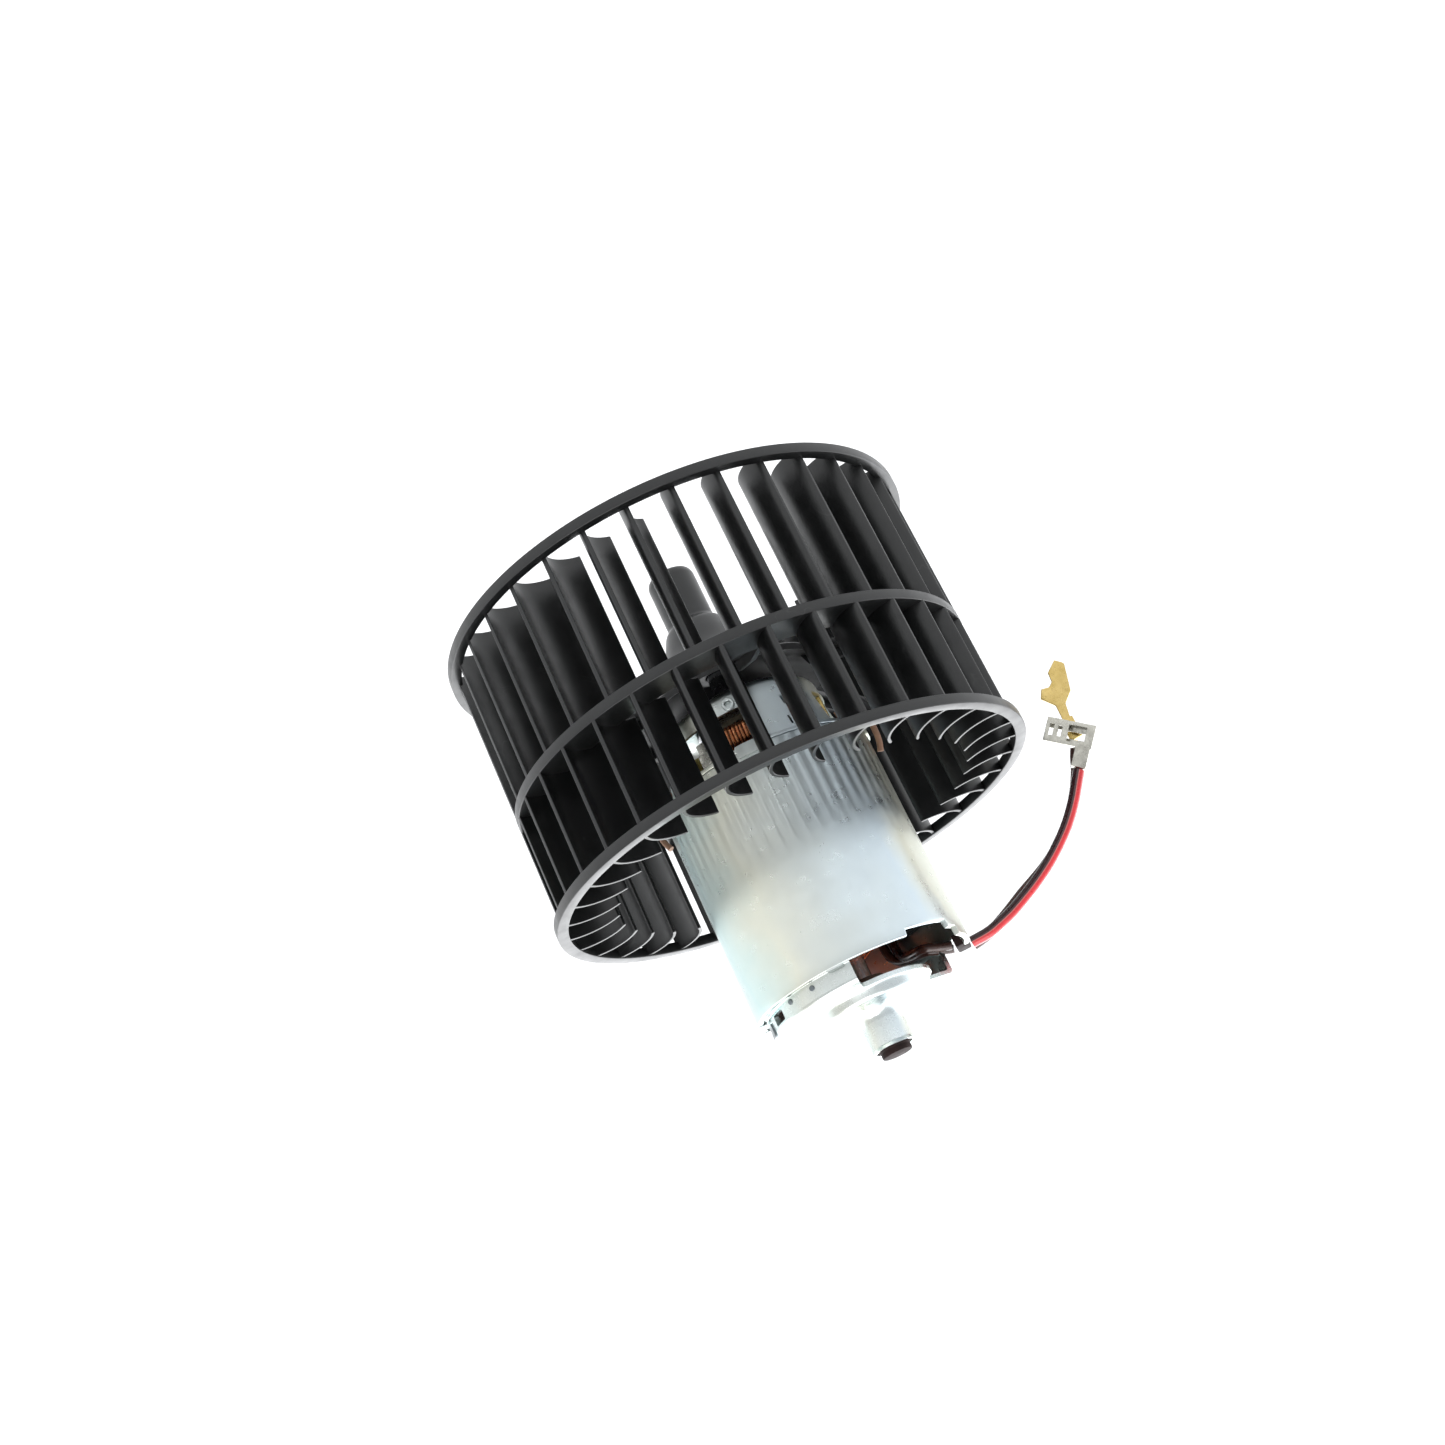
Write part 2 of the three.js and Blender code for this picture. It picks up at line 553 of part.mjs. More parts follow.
function motor() {
  const group = new THREE.Group();
  node(group, 'motor_can', motorCan(), FINISHES.zincPlate);
  node(group, 'front_bracket', frontBracket(), FINISHES.zincPlate);
  node(group, 'rear_end_cap', rearEndCap(), FINISHES.zincPlate);
  node(group, 'rear_nose_plug', turned([
    [0, 153.2], [NOSE_BORE_R - GAP, 153.2], [NOSE_BORE_R - GAP, 157.2], [4, 157.2],
    [3.6, 155.6], [0, 155.6],
  ], 28), FINISHES.rubber);

  const ring = (name, inner, outer, zRange, material) =>
    node(group, name, tubeRing(inner, outer, zRange, 28), material);
  const domeInside = DOME_TOP_Z + SHEET + GAP;
  const capInside = CAP_STEP_Z - SHEET - GAP;
  ring('front_bearing', BORE_R, BOSS_BORE_R - GAP, [45, 51.9], FINISHES.sinteredBronze);
  ring('front_felt_wick', BORE_R + GAP, 6.4, [52.3, 54.1], FINISHES.felt);
  ring('front_bearing_retainer', 7.2, 13, [domeInside, 52.9], FINISHES.springSteel);
  ring('rear_bearing', BORE_R, NOSE_BORE_R - GAP, [143.4, 151], FINISHES.sinteredBronze);
  ring('rear_felt_wick', BORE_R + GAP, 5.1, [140.2, 143.1], FINISHES.felt);
  ring('rear_bearing_retainer', 5.5, 12, [143.6, capInside], FINISHES.springSteel);

  node(group, 'magnet_a', magnet(0), FINISHES.ferrite);
  node(group, 'magnet_b', magnet(180), FINISHES.ferrite);
  node(group, 'magnet_clip_a', magnetClip(270), FINISHES.darkZinc);
  node(group, 'magnet_clip_b', magnetClip(83), FINISHES.darkZinc);

  node(group, 'brush_plate', brushPlate(), FINISHES.phenolic);
  group.add(brushGear('a', 0), brushGear('b', Math.PI));
  group.add(choke('a', 269, 353), choke('b', 89, 180));
  node(group, 'earth_tab', joined(
    block([-2.4, 2.4], [-0.5, 0.5], [60.5, 70]),
    block([-2.4, 2.4], [-1.6, 0], [64, 68]),
  ).translate(0, -22.6, 0).rotateZ(rad(27)), FINISHES.tin);
  group.add(leads());
  return group;
}

const blower = new THREE.Group();
blower.name = 'heater_blower';
blower.add(rotor(), motor());

export default blower;
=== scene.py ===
# %% [markdown]
# # A heater blower
#
# The object is a double-row fan wheel of black plastic on a small zinc-plated motor, with two leads.
# The imported model gives every piece its place and its body: the wheel and the armature turn
# together, the two carbon brushes slide, and the rest is the case.
# We load that model first. No finished piece may grow past it.

# %% The frame
import math

import bmesh
import bpy
from mathutils import Matrix, Vector


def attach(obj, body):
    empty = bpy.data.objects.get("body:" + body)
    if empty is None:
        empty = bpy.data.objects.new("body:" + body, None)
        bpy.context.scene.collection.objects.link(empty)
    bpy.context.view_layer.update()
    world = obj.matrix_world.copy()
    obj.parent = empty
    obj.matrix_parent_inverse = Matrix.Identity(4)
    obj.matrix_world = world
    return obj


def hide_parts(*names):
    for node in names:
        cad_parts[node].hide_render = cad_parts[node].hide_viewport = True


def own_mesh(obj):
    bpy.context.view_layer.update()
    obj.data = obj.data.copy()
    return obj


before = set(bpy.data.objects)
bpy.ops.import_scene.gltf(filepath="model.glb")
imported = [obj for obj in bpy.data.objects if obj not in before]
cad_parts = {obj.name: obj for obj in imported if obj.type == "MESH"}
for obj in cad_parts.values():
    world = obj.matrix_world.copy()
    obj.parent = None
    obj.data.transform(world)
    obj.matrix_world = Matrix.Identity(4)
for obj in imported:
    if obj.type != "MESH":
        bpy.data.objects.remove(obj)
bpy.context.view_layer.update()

MM = 0.001

# %% [markdown]
# ## The camera
#
# The blower hangs with its motor side towards us and its hub up and away.
# The camera could be turned by hand until it looks right. We name its aim, its two angles, its roll
# and its lens instead, so that each can be read and changed on its own.

# %% Camera
AIM = Vector((4.2, -0.3, 50.2)) * MM
DISTANCE = 0.5706
AZIMUTH, ELEVATION, ROLL = (math.radians(a) for a in (-4.465, 20.915, 154.44))

back = Vector((math.sin(AZIMUTH) * math.cos(ELEVATION),
               -math.cos(AZIMUTH) * math.cos(ELEVATION),
               math.sin(ELEVATION)))
level = Vector((0, 0, 1)).cross(back).normalized()
upright = back.cross(level)
right = math.cos(ROLL) * level + math.sin(ROLL) * upright
up = back.cross(right)

lens = bpy.data.cameras.new("camera")
lens.lens, lens.sensor_width = 48.49, 36
lens.clip_start, lens.clip_end = 0.01, 50
camera = bpy.data.objects.new("camera", lens)
bpy.context.scene.collection.objects.link(camera)
camera.matrix_world = Matrix.LocRotScale(
    AIM + back * DISTANCE, Matrix((right, up, back)).transposed().to_quaternion(), None)
bpy.context.scene.camera = camera
bpy.context.scene.view_settings.view_transform = "Standard"
print("camera stands", round(DISTANCE, 3), "m off")

# %% [markdown]
# ## Building nodes in a script
#
# Shader trees and geometry trees are built the same way: add a node, set its options, feed its
# inputs. One helper does all three, so each tree below reads as a short list of steps.

# %% Node helpers
def add(tree, kind, options=None, feeds=None):
    """Adds a node. Each input is fed by a value or by another node's socket."""
    node = tree.nodes.new(kind)
    for key, value in (options or {}).items():
        setattr(node, key, value)
    for key, value in (feeds or {}).items():
        if isinstance(value, bpy.types.NodeSocket):
            tree.links.new(value, node.inputs[key])
        else:
            node.inputs[key].default_value = value
    return node


def new_group(name, kind, inputs, outputs):
    """An empty node group with named sockets, and its two ends."""
    tree = bpy.data.node_groups.new(name, kind)
    for title, socket, start in inputs:
        made = tree.interface.new_socket(title, in_out="INPUT", socket_type="NodeSocket" + socket)
        if start is not None:
            made.default_value = start
    for title, socket in outputs:
        tree.interface.new_socket(title, in_out="OUTPUT", socket_type="NodeSocket" + socket)
    return tree, tree.nodes.new("NodeGroupInput").outputs, tree.nodes.new("NodeGroupOutput").inputs


def math_node(tree, operation, *values):
    return add(tree, "ShaderNodeMath", {"operation": operation}, dict(enumerate(values))).outputs[0]


# %% [markdown]
# ## Effects that several finishes share
#
# No real surface is one flat colour. Plastic and plating are mottled at the scale of a fingertip,
# they have a fine grain, and handling leaves thin scuffs. Each effect is a node group that puts out
# a value or a mask, so that every finish can use it with its own sizes.

# %% Shared effects
mottle, ins, outs = new_group(
    "Mottle", "ShaderNodeTree",
    [("Vector", "Vector", None), ("Size", "Float", 0.01), ("Low", "Float", 0.0), ("High", "Float", 1.0)],
    [("Value", "Float")])
noise = add(mottle, "ShaderNodeTexNoise", {},
            {"Vector": ins["Vector"], "Scale": math_node(mottle, "DIVIDE", 1.0, ins["Size"]),
             "Detail": 5.0, "Roughness": 0.6})
spread = add(mottle, "ShaderNodeMapRange", {},
             {"Value": noise.outputs[0], "From Min": 0.32, "From Max": 0.68,
              "To Min": ins["Low"], "To Max": ins["High"]})
mottle.links.new(spread.outputs[0], outs["Value"])

scuffs, ins, outs = new_group(
    "Scuffs", "ShaderNodeTree",
    [("Vector", "Vector", None), ("Size", "Float", 0.01), ("Amount", "Float", 1.0)], [("Mask", "Float")])
per_size = math_node(scuffs, "DIVIDE", 1.0, ins["Size"])
lines = add(scuffs, "ShaderNodeTexNoise", {},
            {"Vector": ins["Vector"], "Scale": per_size, "Detail": 3.0, "Distortion": 0.6})
line = add(scuffs, "ShaderNodeMapRange", {},
           {"Value": math_node(scuffs, "ABSOLUTE", math_node(scuffs, "SUBTRACT", lines.outputs[0], 0.5)),
            "From Min": 0.0, "From Max": 0.006, "To Min": 1.0, "To Max": 0.0})
place = add(scuffs, "ShaderNodeTexNoise", {},
            {"Vector": ins["Vector"], "Scale": math_node(scuffs, "MULTIPLY", per_size, 1.7), "Detail": 1.0})
where = add(scuffs, "ShaderNodeMapRange", {},
            {"Value": place.outputs[0], "From Min": 0.56, "From Max": 0.66})
mask = math_node(scuffs, "MULTIPLY", line.outputs[0], where.outputs[0])
scuffs.links.new(math_node(scuffs, "MULTIPLY", mask, ins["Amount"]), outs["Mask"])
print("shared effects:", mottle.name, scuffs.name)

# %% [markdown]
# ## The tint of the plating
#
# Passivated zinc isn't grey. The clear film on it shows pale interference colours that drift from
# cream through lavender to ice blue as its thickness changes. A radial gradient, bent by noise,
# stands for that thickness, and a colour ramp turns it into the film's colours.

# %% Plating tint
film, ins, outs = new_group(
    "Plating tint", "ShaderNodeTree",
    [("Vector", "Vector", None), ("Drift", "Float", 0.05)], [("Color", "Color")])
around = add(film, "ShaderNodeTexGradient", {"gradient_type": "RADIAL"}, {"Vector": ins["Vector"]})
bend = add(film, "ShaderNodeTexNoise", {}, {"Vector": ins["Vector"], "Scale": 42.0, "Detail": 3.0})
bent = math_node(film, "MULTIPLY_ADD", math_node(film, "SUBTRACT", bend.outputs[0], 0.5), ins["Drift"],
                 around.outputs[1])
colours = add(film, "ShaderNodeValToRGB", {}, {"Fac": bent})
FILM = [(0.00, (0.66, 0.68, 0.58)), (0.06, (0.67, 0.67, 0.56)), (0.12, (0.54, 0.64, 0.71)),
        (0.19, (0.57, 0.65, 0.68)), (0.24, (0.54, 0.59, 0.58)), (0.29, (0.59, 0.61, 0.55)),
        (0.33, (0.67, 0.67, 0.55)), (0.38, (0.58, 0.67, 0.61)), (0.43, (0.47, 0.64, 0.63)),
        (0.55, (0.58, 0.62, 0.61)), (0.66, (0.66, 0.63, 0.55)), (0.76, (0.57, 0.60, 0.70)),
        (0.88, (0.50, 0.65, 0.63)), (1.00, (0.66, 0.68, 0.58))]
ramp = colours.color_ramp.elements
ramp[0].position, ramp[0].color = FILM[0][0], (*FILM[0][1], 1)
ramp[1].position, ramp[1].color = FILM[-1][0], (*FILM[-1][1], 1)
for position, colour in FILM[1:-1]:
    ramp.new(position).color = (*colour, 1)
film.links.new(colours.outputs[0], outs["Color"])
print("film colours:", len(FILM))

# %% [markdown]
# ## The finishes
#
# Every finish is a Principled shader fed by the shared effects: two close colours mixed by the
# mottle, a roughness that wanders between two values, a fine grain as bump, and scuffs where
# something rubs. Values that are the same all over stay on the shader's own sockets.

# %% Finish maker
FINISH = {}


def finish(slot, colour, second, rough, metallic=0.0, patch=6.0, grain=0.35, bump=0.15,
           scuff=0.0, scuff_colour=(0.3, 0.3, 0.3), coat=0.0, specular=0.5, tint=0.0, drift=0.1):
    """Sizes are in millimetres, and colours are linear."""
    material = bpy.data.materials.new(slot)
    material.use_nodes = True
    tree = material.node_tree
    shader = tree.nodes["Principled BSDF"]
    vector = add(tree, "ShaderNodeTexCoord").outputs["Object"]

    def effect(group, out, feeds):
        node = add(tree, "ShaderNodeGroup", {"node_tree": group}, {"Vector": vector, **feeds})
        return node.outputs[out]

    def mix(factor, a, b, kind="MIX"):
        node = add(tree, "ShaderNodeMix", {"data_type": "RGBA", "blend_type": kind}, {0: factor, 6: a, 7: b})
        return node.outputs[2]

    tone = effect(mottle, "Value", {"Size": patch * MM})
    base = mix(tone, (*colour, 1), (*second, 1))
    if tint:
        base = mix(tint, base, effect(film, "Color", {"Drift": drift}))
    if scuff:
        mark = effect(scuffs, "Mask", {"Size": patch * 2.2 * MM, "Amount": scuff})
        base = mix(mark, base, (*scuff_colour, 1))
    tree.links.new(base, shader.inputs["Base Color"])
    tree.links.new(effect(mottle, "Value", {"Size": patch * 0.6 * MM, "Low": rough[0], "High": rough[1]}),
                   shader.inputs["Roughness"])
    height = effect(mottle, "Value", {"Size": grain * MM})
    relief = add(tree, "ShaderNodeBump", {}, {"Strength": bump, "Distance": 0.03 * MM, "Height": height})
    tree.links.new(relief.outputs[0], shader.inputs["Normal"])
    shader.inputs["Metallic"].default_value = metallic
    shader.inputs["Specular IOR Level"].default_value = specular
    if coat:
        shader.inputs["Coat Weight"].default_value = coat
        shader.inputs["Coat Roughness"].default_value = 0.12
    FINISH[slot] = material
    return material


# %% [markdown]
# Now the finishes themselves, from the wheel's charcoal plastic to the pale tan of the choke wires' loops,
# which is painted highlight on their copper.

# %% Finishes
finish("wheel_plastic", (0.0045, 0.0048, 0.0050), (0.008, 0.0083, 0.0085), (0.29, 0.40), patch=9, grain=0.5,
       bump=0.12, scuff=0.25, scuff_colour=(0.06, 0.06, 0.06))
finish("zinc_plate", (0.59, 0.62, 0.60), (0.64, 0.67, 0.66), (0.26, 0.38), 1.0, patch=7, grain=1.0,
       bump=0.02, tint=0.75, drift=0.14)
finish("zinc_cap", (0.58, 0.62, 0.61), (0.66, 0.69, 0.68), (0.20, 0.34), 1.0, patch=5, grain=1.0,
       bump=0.02, tint=0.50, drift=0.20)
# On the stake marks this dark zinc is painted shade: they are dimples in plain zinc.
finish("dark_zinc", (0.16, 0.18, 0.19), (0.24, 0.26, 0.27), (0.25, 0.42), 1.0, patch=5)
finish("shaft_steel", (0.55, 0.56, 0.58), (0.62, 0.63, 0.64), (0.16, 0.28), 1.0, patch=2)
finish("spring_steel", (0.42, 0.44, 0.46), (0.52, 0.53, 0.55), (0.22, 0.36), 1.0, patch=2)
finish("sintered_bronze", (0.32, 0.22, 0.11), (0.42, 0.30, 0.16), (0.45, 0.65), 1.0,
       patch=1, grain=0.2, bump=0.5)
finish("core_steel", (0.16, 0.16, 0.17), (0.26, 0.26, 0.27), (0.35, 0.55), 1.0, patch=3)
finish("enamel_copper", (0.95, 0.27, 0.10), (0.80, 0.18, 0.06), (0.14, 0.24), 0.85, patch=3, coat=0.6)
finish("bar_copper", (0.66, 0.28, 0.13), (0.44, 0.17, 0.08), (0.22, 0.40), 1.0, patch=2, scuff=0.5,
       scuff_colour=(0.2, 0.08, 0.04))
finish("ferrite", (0.030, 0.032, 0.034), (0.050, 0.052, 0.055), (0.45, 0.70), patch=4, grain=0.4, bump=0.5)
finish("brass", (0.60, 0.45, 0.18), (0.48, 0.35, 0.12), (0.16, 0.32), 1.0, patch=2.5, scuff=0.5,
       scuff_colour=(0.35, 0.24, 0.08))
finish("tin", (0.50, 0.49, 0.44), (0.36, 0.35, 0.31), (0.20, 0.38), 1.0, patch=2, scuff=0.5,
       scuff_colour=(0.3, 0.29, 0.25))
finish("carbon", (0.018, 0.018, 0.019), (0.034, 0.034, 0.035), (0.5, 0.7), patch=1.5, grain=0.2, bump=0.5)
finish("phenolic", (0.075, 0.030, 0.014), (0.042, 0.018, 0.010), (0.35, 0.55), patch=3, grain=0.4, bump=0.3)
finish("black_rubber", (0.022, 0.011, 0.010), (0.013, 0.008, 0.007), (0.60, 0.80),
       patch=3, grain=0.3, bump=0.2,
       specular=0.15)
finish("felt", (0.40, 0.35, 0.25), (0.28, 0.24, 0.17), (0.85, 1.0), patch=1, grain=0.15, bump=0.9)
finish("brown_pvc", (0.060, 0.022, 0.016), (0.040, 0.015, 0.011), (0.22, 0.36), patch=8, coat=0.4)
# The choke loops are enamelled copper; this pale tan stands in for the highlight on them, a painted
# highlight.
finish("tan_sleeve", (0.34, 0.19, 0.12), (0.25, 0.14, 0.09), (0.35, 0.55), patch=3, grain=0.25, bump=0.5)
finish("red_pvc", (0.62, 0.022, 0.030), (0.48, 0.014, 0.020), (0.22, 0.36), patch=8, coat=0.4)
print("finishes:", len(FINISH))

# %% [markdown]
# ## From mesh to piece
#
# Every piece goes through one function. It makes sure that faces point outwards by measuring the
# closed volume, smooths the shading between real edges, and lets the piece ride on its body in
# place of its CAD node.

# %% Piece helpers
def shape(build):
    """Runs build on a bmesh and returns the mesh it made, with its faces outwards."""
    bm = bmesh.new()
    build(bm)
    bmesh.ops.recalc_face_normals(bm, faces=bm.faces)
    if bm.calc_volume(signed=True) < 0:
        bmesh.ops.reverse_faces(bm, faces=bm.faces)
    mesh = bpy.data.meshes.new("shape")
    bm.to_mesh(mesh)
    bm.free()
    return mesh


def host(mesh, name="host"):
    thing = bpy.data.objects.new(name, mesh)
    bpy.context.scene.collection.objects.link(thing)
    return thing


def baked(thing, name):
    """The evaluated object as a plain mesh. The object that carried the modifiers goes."""
    evaluated = thing.evaluated_get(bpy.context.evaluated_depsgraph_get())
    mesh = bpy.data.meshes.new_from_object(evaluated)
    mesh.name = name
    bpy.data.objects.remove(thing)
    return mesh


def piece(name, mesh, slot, body="case", stands_for=(), edge_deg=32, look=None):
    """Slot picks the piece's finish, and look, when given, is a closer variant used in its place."""
    mesh.name = name
    mesh.materials.clear()
    mesh.materials.append(FINISH[look or slot])
    mesh.shade_smooth()
    mesh.set_sharp_from_angle(angle=math.radians(edge_deg))
    made = host(mesh, name)
    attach(made, body) or made
    for node in ([stands_for] if isinstance(stands_for, str) else stands_for):
        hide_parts(node)
    print(f"{name}: {len(mesh.polygons)} faces")
    return made


def merged(*meshes):
    """Several meshes as one."""
    bm = bmesh.new()
    for mesh in meshes:
        bm.from_mesh(mesh)
    whole = bpy.data.meshes.new("merged")
    bm.to_mesh(whole)
    bm.free()
    return whole


def placed(mesh, deg=0.0, at=(0, 0, 0), tip=None):
    """A copy of the mesh, tipped first, then moved in mm, then turned about Z."""
    copy = mesh.copy()
    copy.transform(Matrix.Rotation(math.radians(deg), 4, "Z") @ Matrix.Translation(Vector(at) * MM)
                   @ (tip or Matrix.Identity(4)))
    return copy


# %% [markdown]
# ## Turned shapes
#
# Rings, domes, the hub and the can are turned about the axis of rotation. We write each as a closed
# outline of radius and height in millimetres, and round its corners first: a real edge always has a
# small radius, and that radius is what catches the light.

# %% Turned shapes
def rounded(outline, fillet=0.25, steps=3):
    points = []
    for i, corner in enumerate(outline):
        a, b, c = (Vector(p[:2]) for p in (outline[i - 1], corner, outline[(i + 1) % len(outline)]))
        reach = corner[2] if len(corner) > 2 else fillet
        reach = min(reach, (a - b).length * 0.45, (c - b).length * 0.45)
        if b.x < 1e-6 or reach < 0.02:
            points.append(b)
            continue
        start, end = b + (a - b).normalized() * reach, b + (c - b).normalized() * reach
        for k in range(steps + 1):
            t = k / steps
            points.append((1 - t) ** 2 * start + 2 * t * (1 - t) * b + t * t * end)
    return points


def turned(outline, segments=96, fillet=0.25, steps=3):
    points = rounded(outline, fillet, steps)

    def build(bm):
        rows = []
        for r, z in points:
            if r < 1e-6:
                rows.append([bm.verts.new((0, 0, z * MM))] * segments)
                continue
            angles = (2 * math.pi * k / segments for k in range(segments))
            rows.append([bm.verts.new((r * math.cos(t) * MM, r * math.sin(t) * MM, z * MM)) for t in angles])
        for low, high in zip(rows, rows[1:] + rows[:1]):
            for k in range(segments):
                n = (k + 1) % segments
                corners = list(dict.fromkeys((low[k], low[n], high[n], high[k])))
                if len(corners) > 2:
                    bm.faces.new(corners)
    return shape(build)


def wall(inner, outer, low, high, start, end, corner=1.0, plan=False, step_deg=2.5):
    """A slice of a ring between two angles, its corners rounded on the wall or, as plan, seen along Z."""
    middle = outer if plan else (inner + outer) / 2
    turn = corner / middle
    first, last = math.radians(start), math.radians(end)
    spread = [turn * (1 - math.cos(math.pi / 2 * k / 5)) for k in range(6)]
    count = max(2, int((end - start) / step_deg))
    flat = [first + turn + (last - first - 2 * turn) * k / count for k in range(1, count)]
    angles = [first + s for s in spread] + flat + [last - s for s in reversed(spread)]

    def build(bm):
        columns = []
        for t in angles:
            inset = max(0.0, turn - min(t - first, last - t)) / turn
            drop = corner * (1 - math.sqrt(max(0.0, 1 - inset * inset)))
            ri, ro, zl, zh = ((inner + drop, outer - drop, low, high) if plan
                              else (inner, outer, low + drop, high - drop))
            ring = ((ri, zl), (ro, zl), (ro, zh), (ri, zh))
            columns.append([bm.verts.new((r * math.cos(t) * MM, r * math.sin(t) * MM, z * MM))
                            for r, z in ring])
        for a, b in zip(columns, columns[1:]):
            for k in range(4):
                n = (k + 1) % 4
                bm.faces.new((a[k], b[k], b[n], a[n]))
        bm.faces.new(columns[0])
        bm.faces.new(columns[-1])
    return shape(build)


def bar(outline, low, high, edge=0.0, segments=2):
    """Extrudes an x, y outline in mm along Z, with its edges broken."""
    def build(bm):
        base = [bm.verts.new((x * MM, y * MM, low * MM)) for x, y in outline]
        top = [bm.verts.new((x * MM, y * MM, high * MM)) for x, y in outline]
        bm.faces.new(base)
        bm.faces.new(top)
        for k in range(len(outline)):
            n = (k + 1) % len(outline)
            bm.faces.new((base[k], base[n], top[n], top[k]))
        break_edges(bm, edge, segments)
    return shape(build)


def break_edges(bm, width, segments=2, over_deg=30):
    if width:
        bmesh.ops.recalc_face_normals(bm, faces=bm.faces)
        sharp = [e for e in bm.edges
                 if len(e.link_faces) == 2 and e.calc_face_angle() > math.radians(over_deg)]
        bmesh.ops.bevel(bm, geom=sharp, offset=width * MM, segments=segments, profile=0.6,
                        affect="EDGES", clamp_overlap=True)


def brick(x, y, z, edge=0.0):
    return bar([(x[0], y[0]), (x[1], y[0]), (x[1], y[1]), (x[0], y[1])], z[0], z[1], edge)


def softened(name, node, slot, body="case", width=0.15):
    """The CAD node's own shape, merged and with its edges broken."""
    def build(bm):
        bm.from_mesh(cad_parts[node].data)
        bmesh.ops.remove_doubles(bm, verts=bm.verts, dist=0.002 * MM)
        bmesh.ops.dissolve_limit(bm, angle_limit=math.radians(1), verts=bm.verts, edges=bm.edges)
        break_edges(bm, width)
    return piece(name, shape(build), slot, body, node)


def carved(mesh, *tools):
    """Cuts the tools, which stay clear of each other, out of the mesh, at 1000 times the size."""
    large = Matrix.Scale(1000, 4)
    thing, cutter = host(placed(mesh, tip=large)), host(placed(merged(*tools), tip=large), "cutter")
    step = thing.modifiers.new("cut", "BOOLEAN")
    step.operation, step.solver, step.object = "DIFFERENCE", "MANIFOLD", cutter
    result = baked(thing, "carved")
    bpy.data.objects.remove(cutter)
    result.transform(Matrix.Scale(MM, 4))
    return result


# %% [markdown]
# ## Geometry Nodes for what repeats
#
# A wheel is one blade, repeated around an axis, and a winding is one round section that follows many
# paths. Copying by hand would work once. A node tree with named inputs says the rule instead, and the
# same tree then serves the blades, the spokes, the commutator bars and the crimps.

# %% Ring of copies
ring, ins, outs = new_group(
    "Ring of copies", "GeometryNodeTree",
    [("Geometry", "Geometry", None), ("Copy", "Object", None), ("Count", "Int", 6),
     ("First Angle", "Float", 0.0), ("Finish", "Material", None)], [("Geometry", "Geometry")])
points = add(ring, "GeometryNodePoints", {}, {"Count": ins["Count"]})
step = math_node(ring, "DIVIDE", 2 * math.pi, ins["Count"])
turn = math_node(ring, "MULTIPLY_ADD",
                 add(ring, "GeometryNodeInputIndex").outputs[0], step, ins["First Angle"])
facing = add(ring, "FunctionNodeEulerToRotation", {},
             {0: add(ring, "ShaderNodeCombineXYZ", {}, {"Z": turn}).outputs[0]})
copy = add(ring, "GeometryNodeObjectInfo", {}, {"Object": ins["Copy"]})
copies = add(ring, "GeometryNodeInstanceOnPoints", {},
             {"Points": points.outputs[0], "Instance": copy.outputs["Geometry"],
              "Rotation": facing.outputs[0]})
solid = add(ring, "GeometryNodeRealizeInstances", {}, {0: copies.outputs[0]})
painted = add(ring, "GeometryNodeSetMaterial", {}, {"Geometry": solid.outputs[0], "Material": ins["Finish"]})
ring.links.new(painted.outputs[0], outs[0])

# %% Round wire
wire, ins, outs = new_group(
    "Round wire", "GeometryNodeTree",
    [("Geometry", "Geometry", None), ("Radius", "Float", 0.001), ("Sides", "Int", 8),
     ("Finish", "Material", None)], [("Geometry", "Geometry")])
path = add(wire, "GeometryNodeMeshToCurve", {}, {0: ins["Geometry"]})
section = add(wire, "GeometryNodeCurvePrimitiveCircle", {"mode": "RADIUS"},
              {"Resolution": ins["Sides"], "Radius": ins["Radius"]})
tube = add(wire, "GeometryNodeCurveToMesh", {},
           {"Curve": path.outputs[0], "Profile Curve": section.outputs[0], "Fill Caps": True})
solid = add(wire, "GeometryNodeRealizeInstances", {}, {0: tube.outputs[0]})
painted = add(wire, "GeometryNodeSetMaterial", {}, {"Geometry": solid.outputs[0], "Material": ins["Finish"]})
wire.links.new(painted.outputs[0], outs[0])

# %% Coil
coil, ins, outs = new_group(
    "Coil", "GeometryNodeTree",
    [("Geometry", "Geometry", None), ("Turns", "Float", 8.0), ("Radius", "Float", 0.004),
     ("Length", "Float", 0.01), ("Wire Radius", "Float", 0.0005), ("Finish", "Material", None)],
    [("Geometry", "Geometry")])
helix = add(coil, "GeometryNodeCurveSpiral", {},
            {"Resolution": 18, "Rotations": ins["Turns"], "Start Radius": ins["Radius"],
             "End Radius": ins["Radius"], "Height": ins["Length"]})
section = add(coil, "GeometryNodeCurvePrimitiveCircle", {"mode": "RADIUS"},
              {"Resolution": 8, "Radius": ins["Wire Radius"]})
tube = add(coil, "GeometryNodeCurveToMesh", {},
           {"Curve": helix.outputs[0], "Profile Curve": section.outputs[0], "Fill Caps": True})
solid = add(coil, "GeometryNodeRealizeInstances", {}, {0: tube.outputs[0]})
painted = add(coil, "GeometryNodeSetMaterial", {}, {"Geometry": solid.outputs[0], "Material": ins["Finish"]})
coil.links.new(painted.outputs[0], outs[0])

# %% [markdown]
# ### Flutes
#
# The front half of the can is fluted where the press gathered it, and the flutes fade out halfway.
# The rule is a cosine of the angle, times a fade along the axis, pushed inwards from the outer wall.

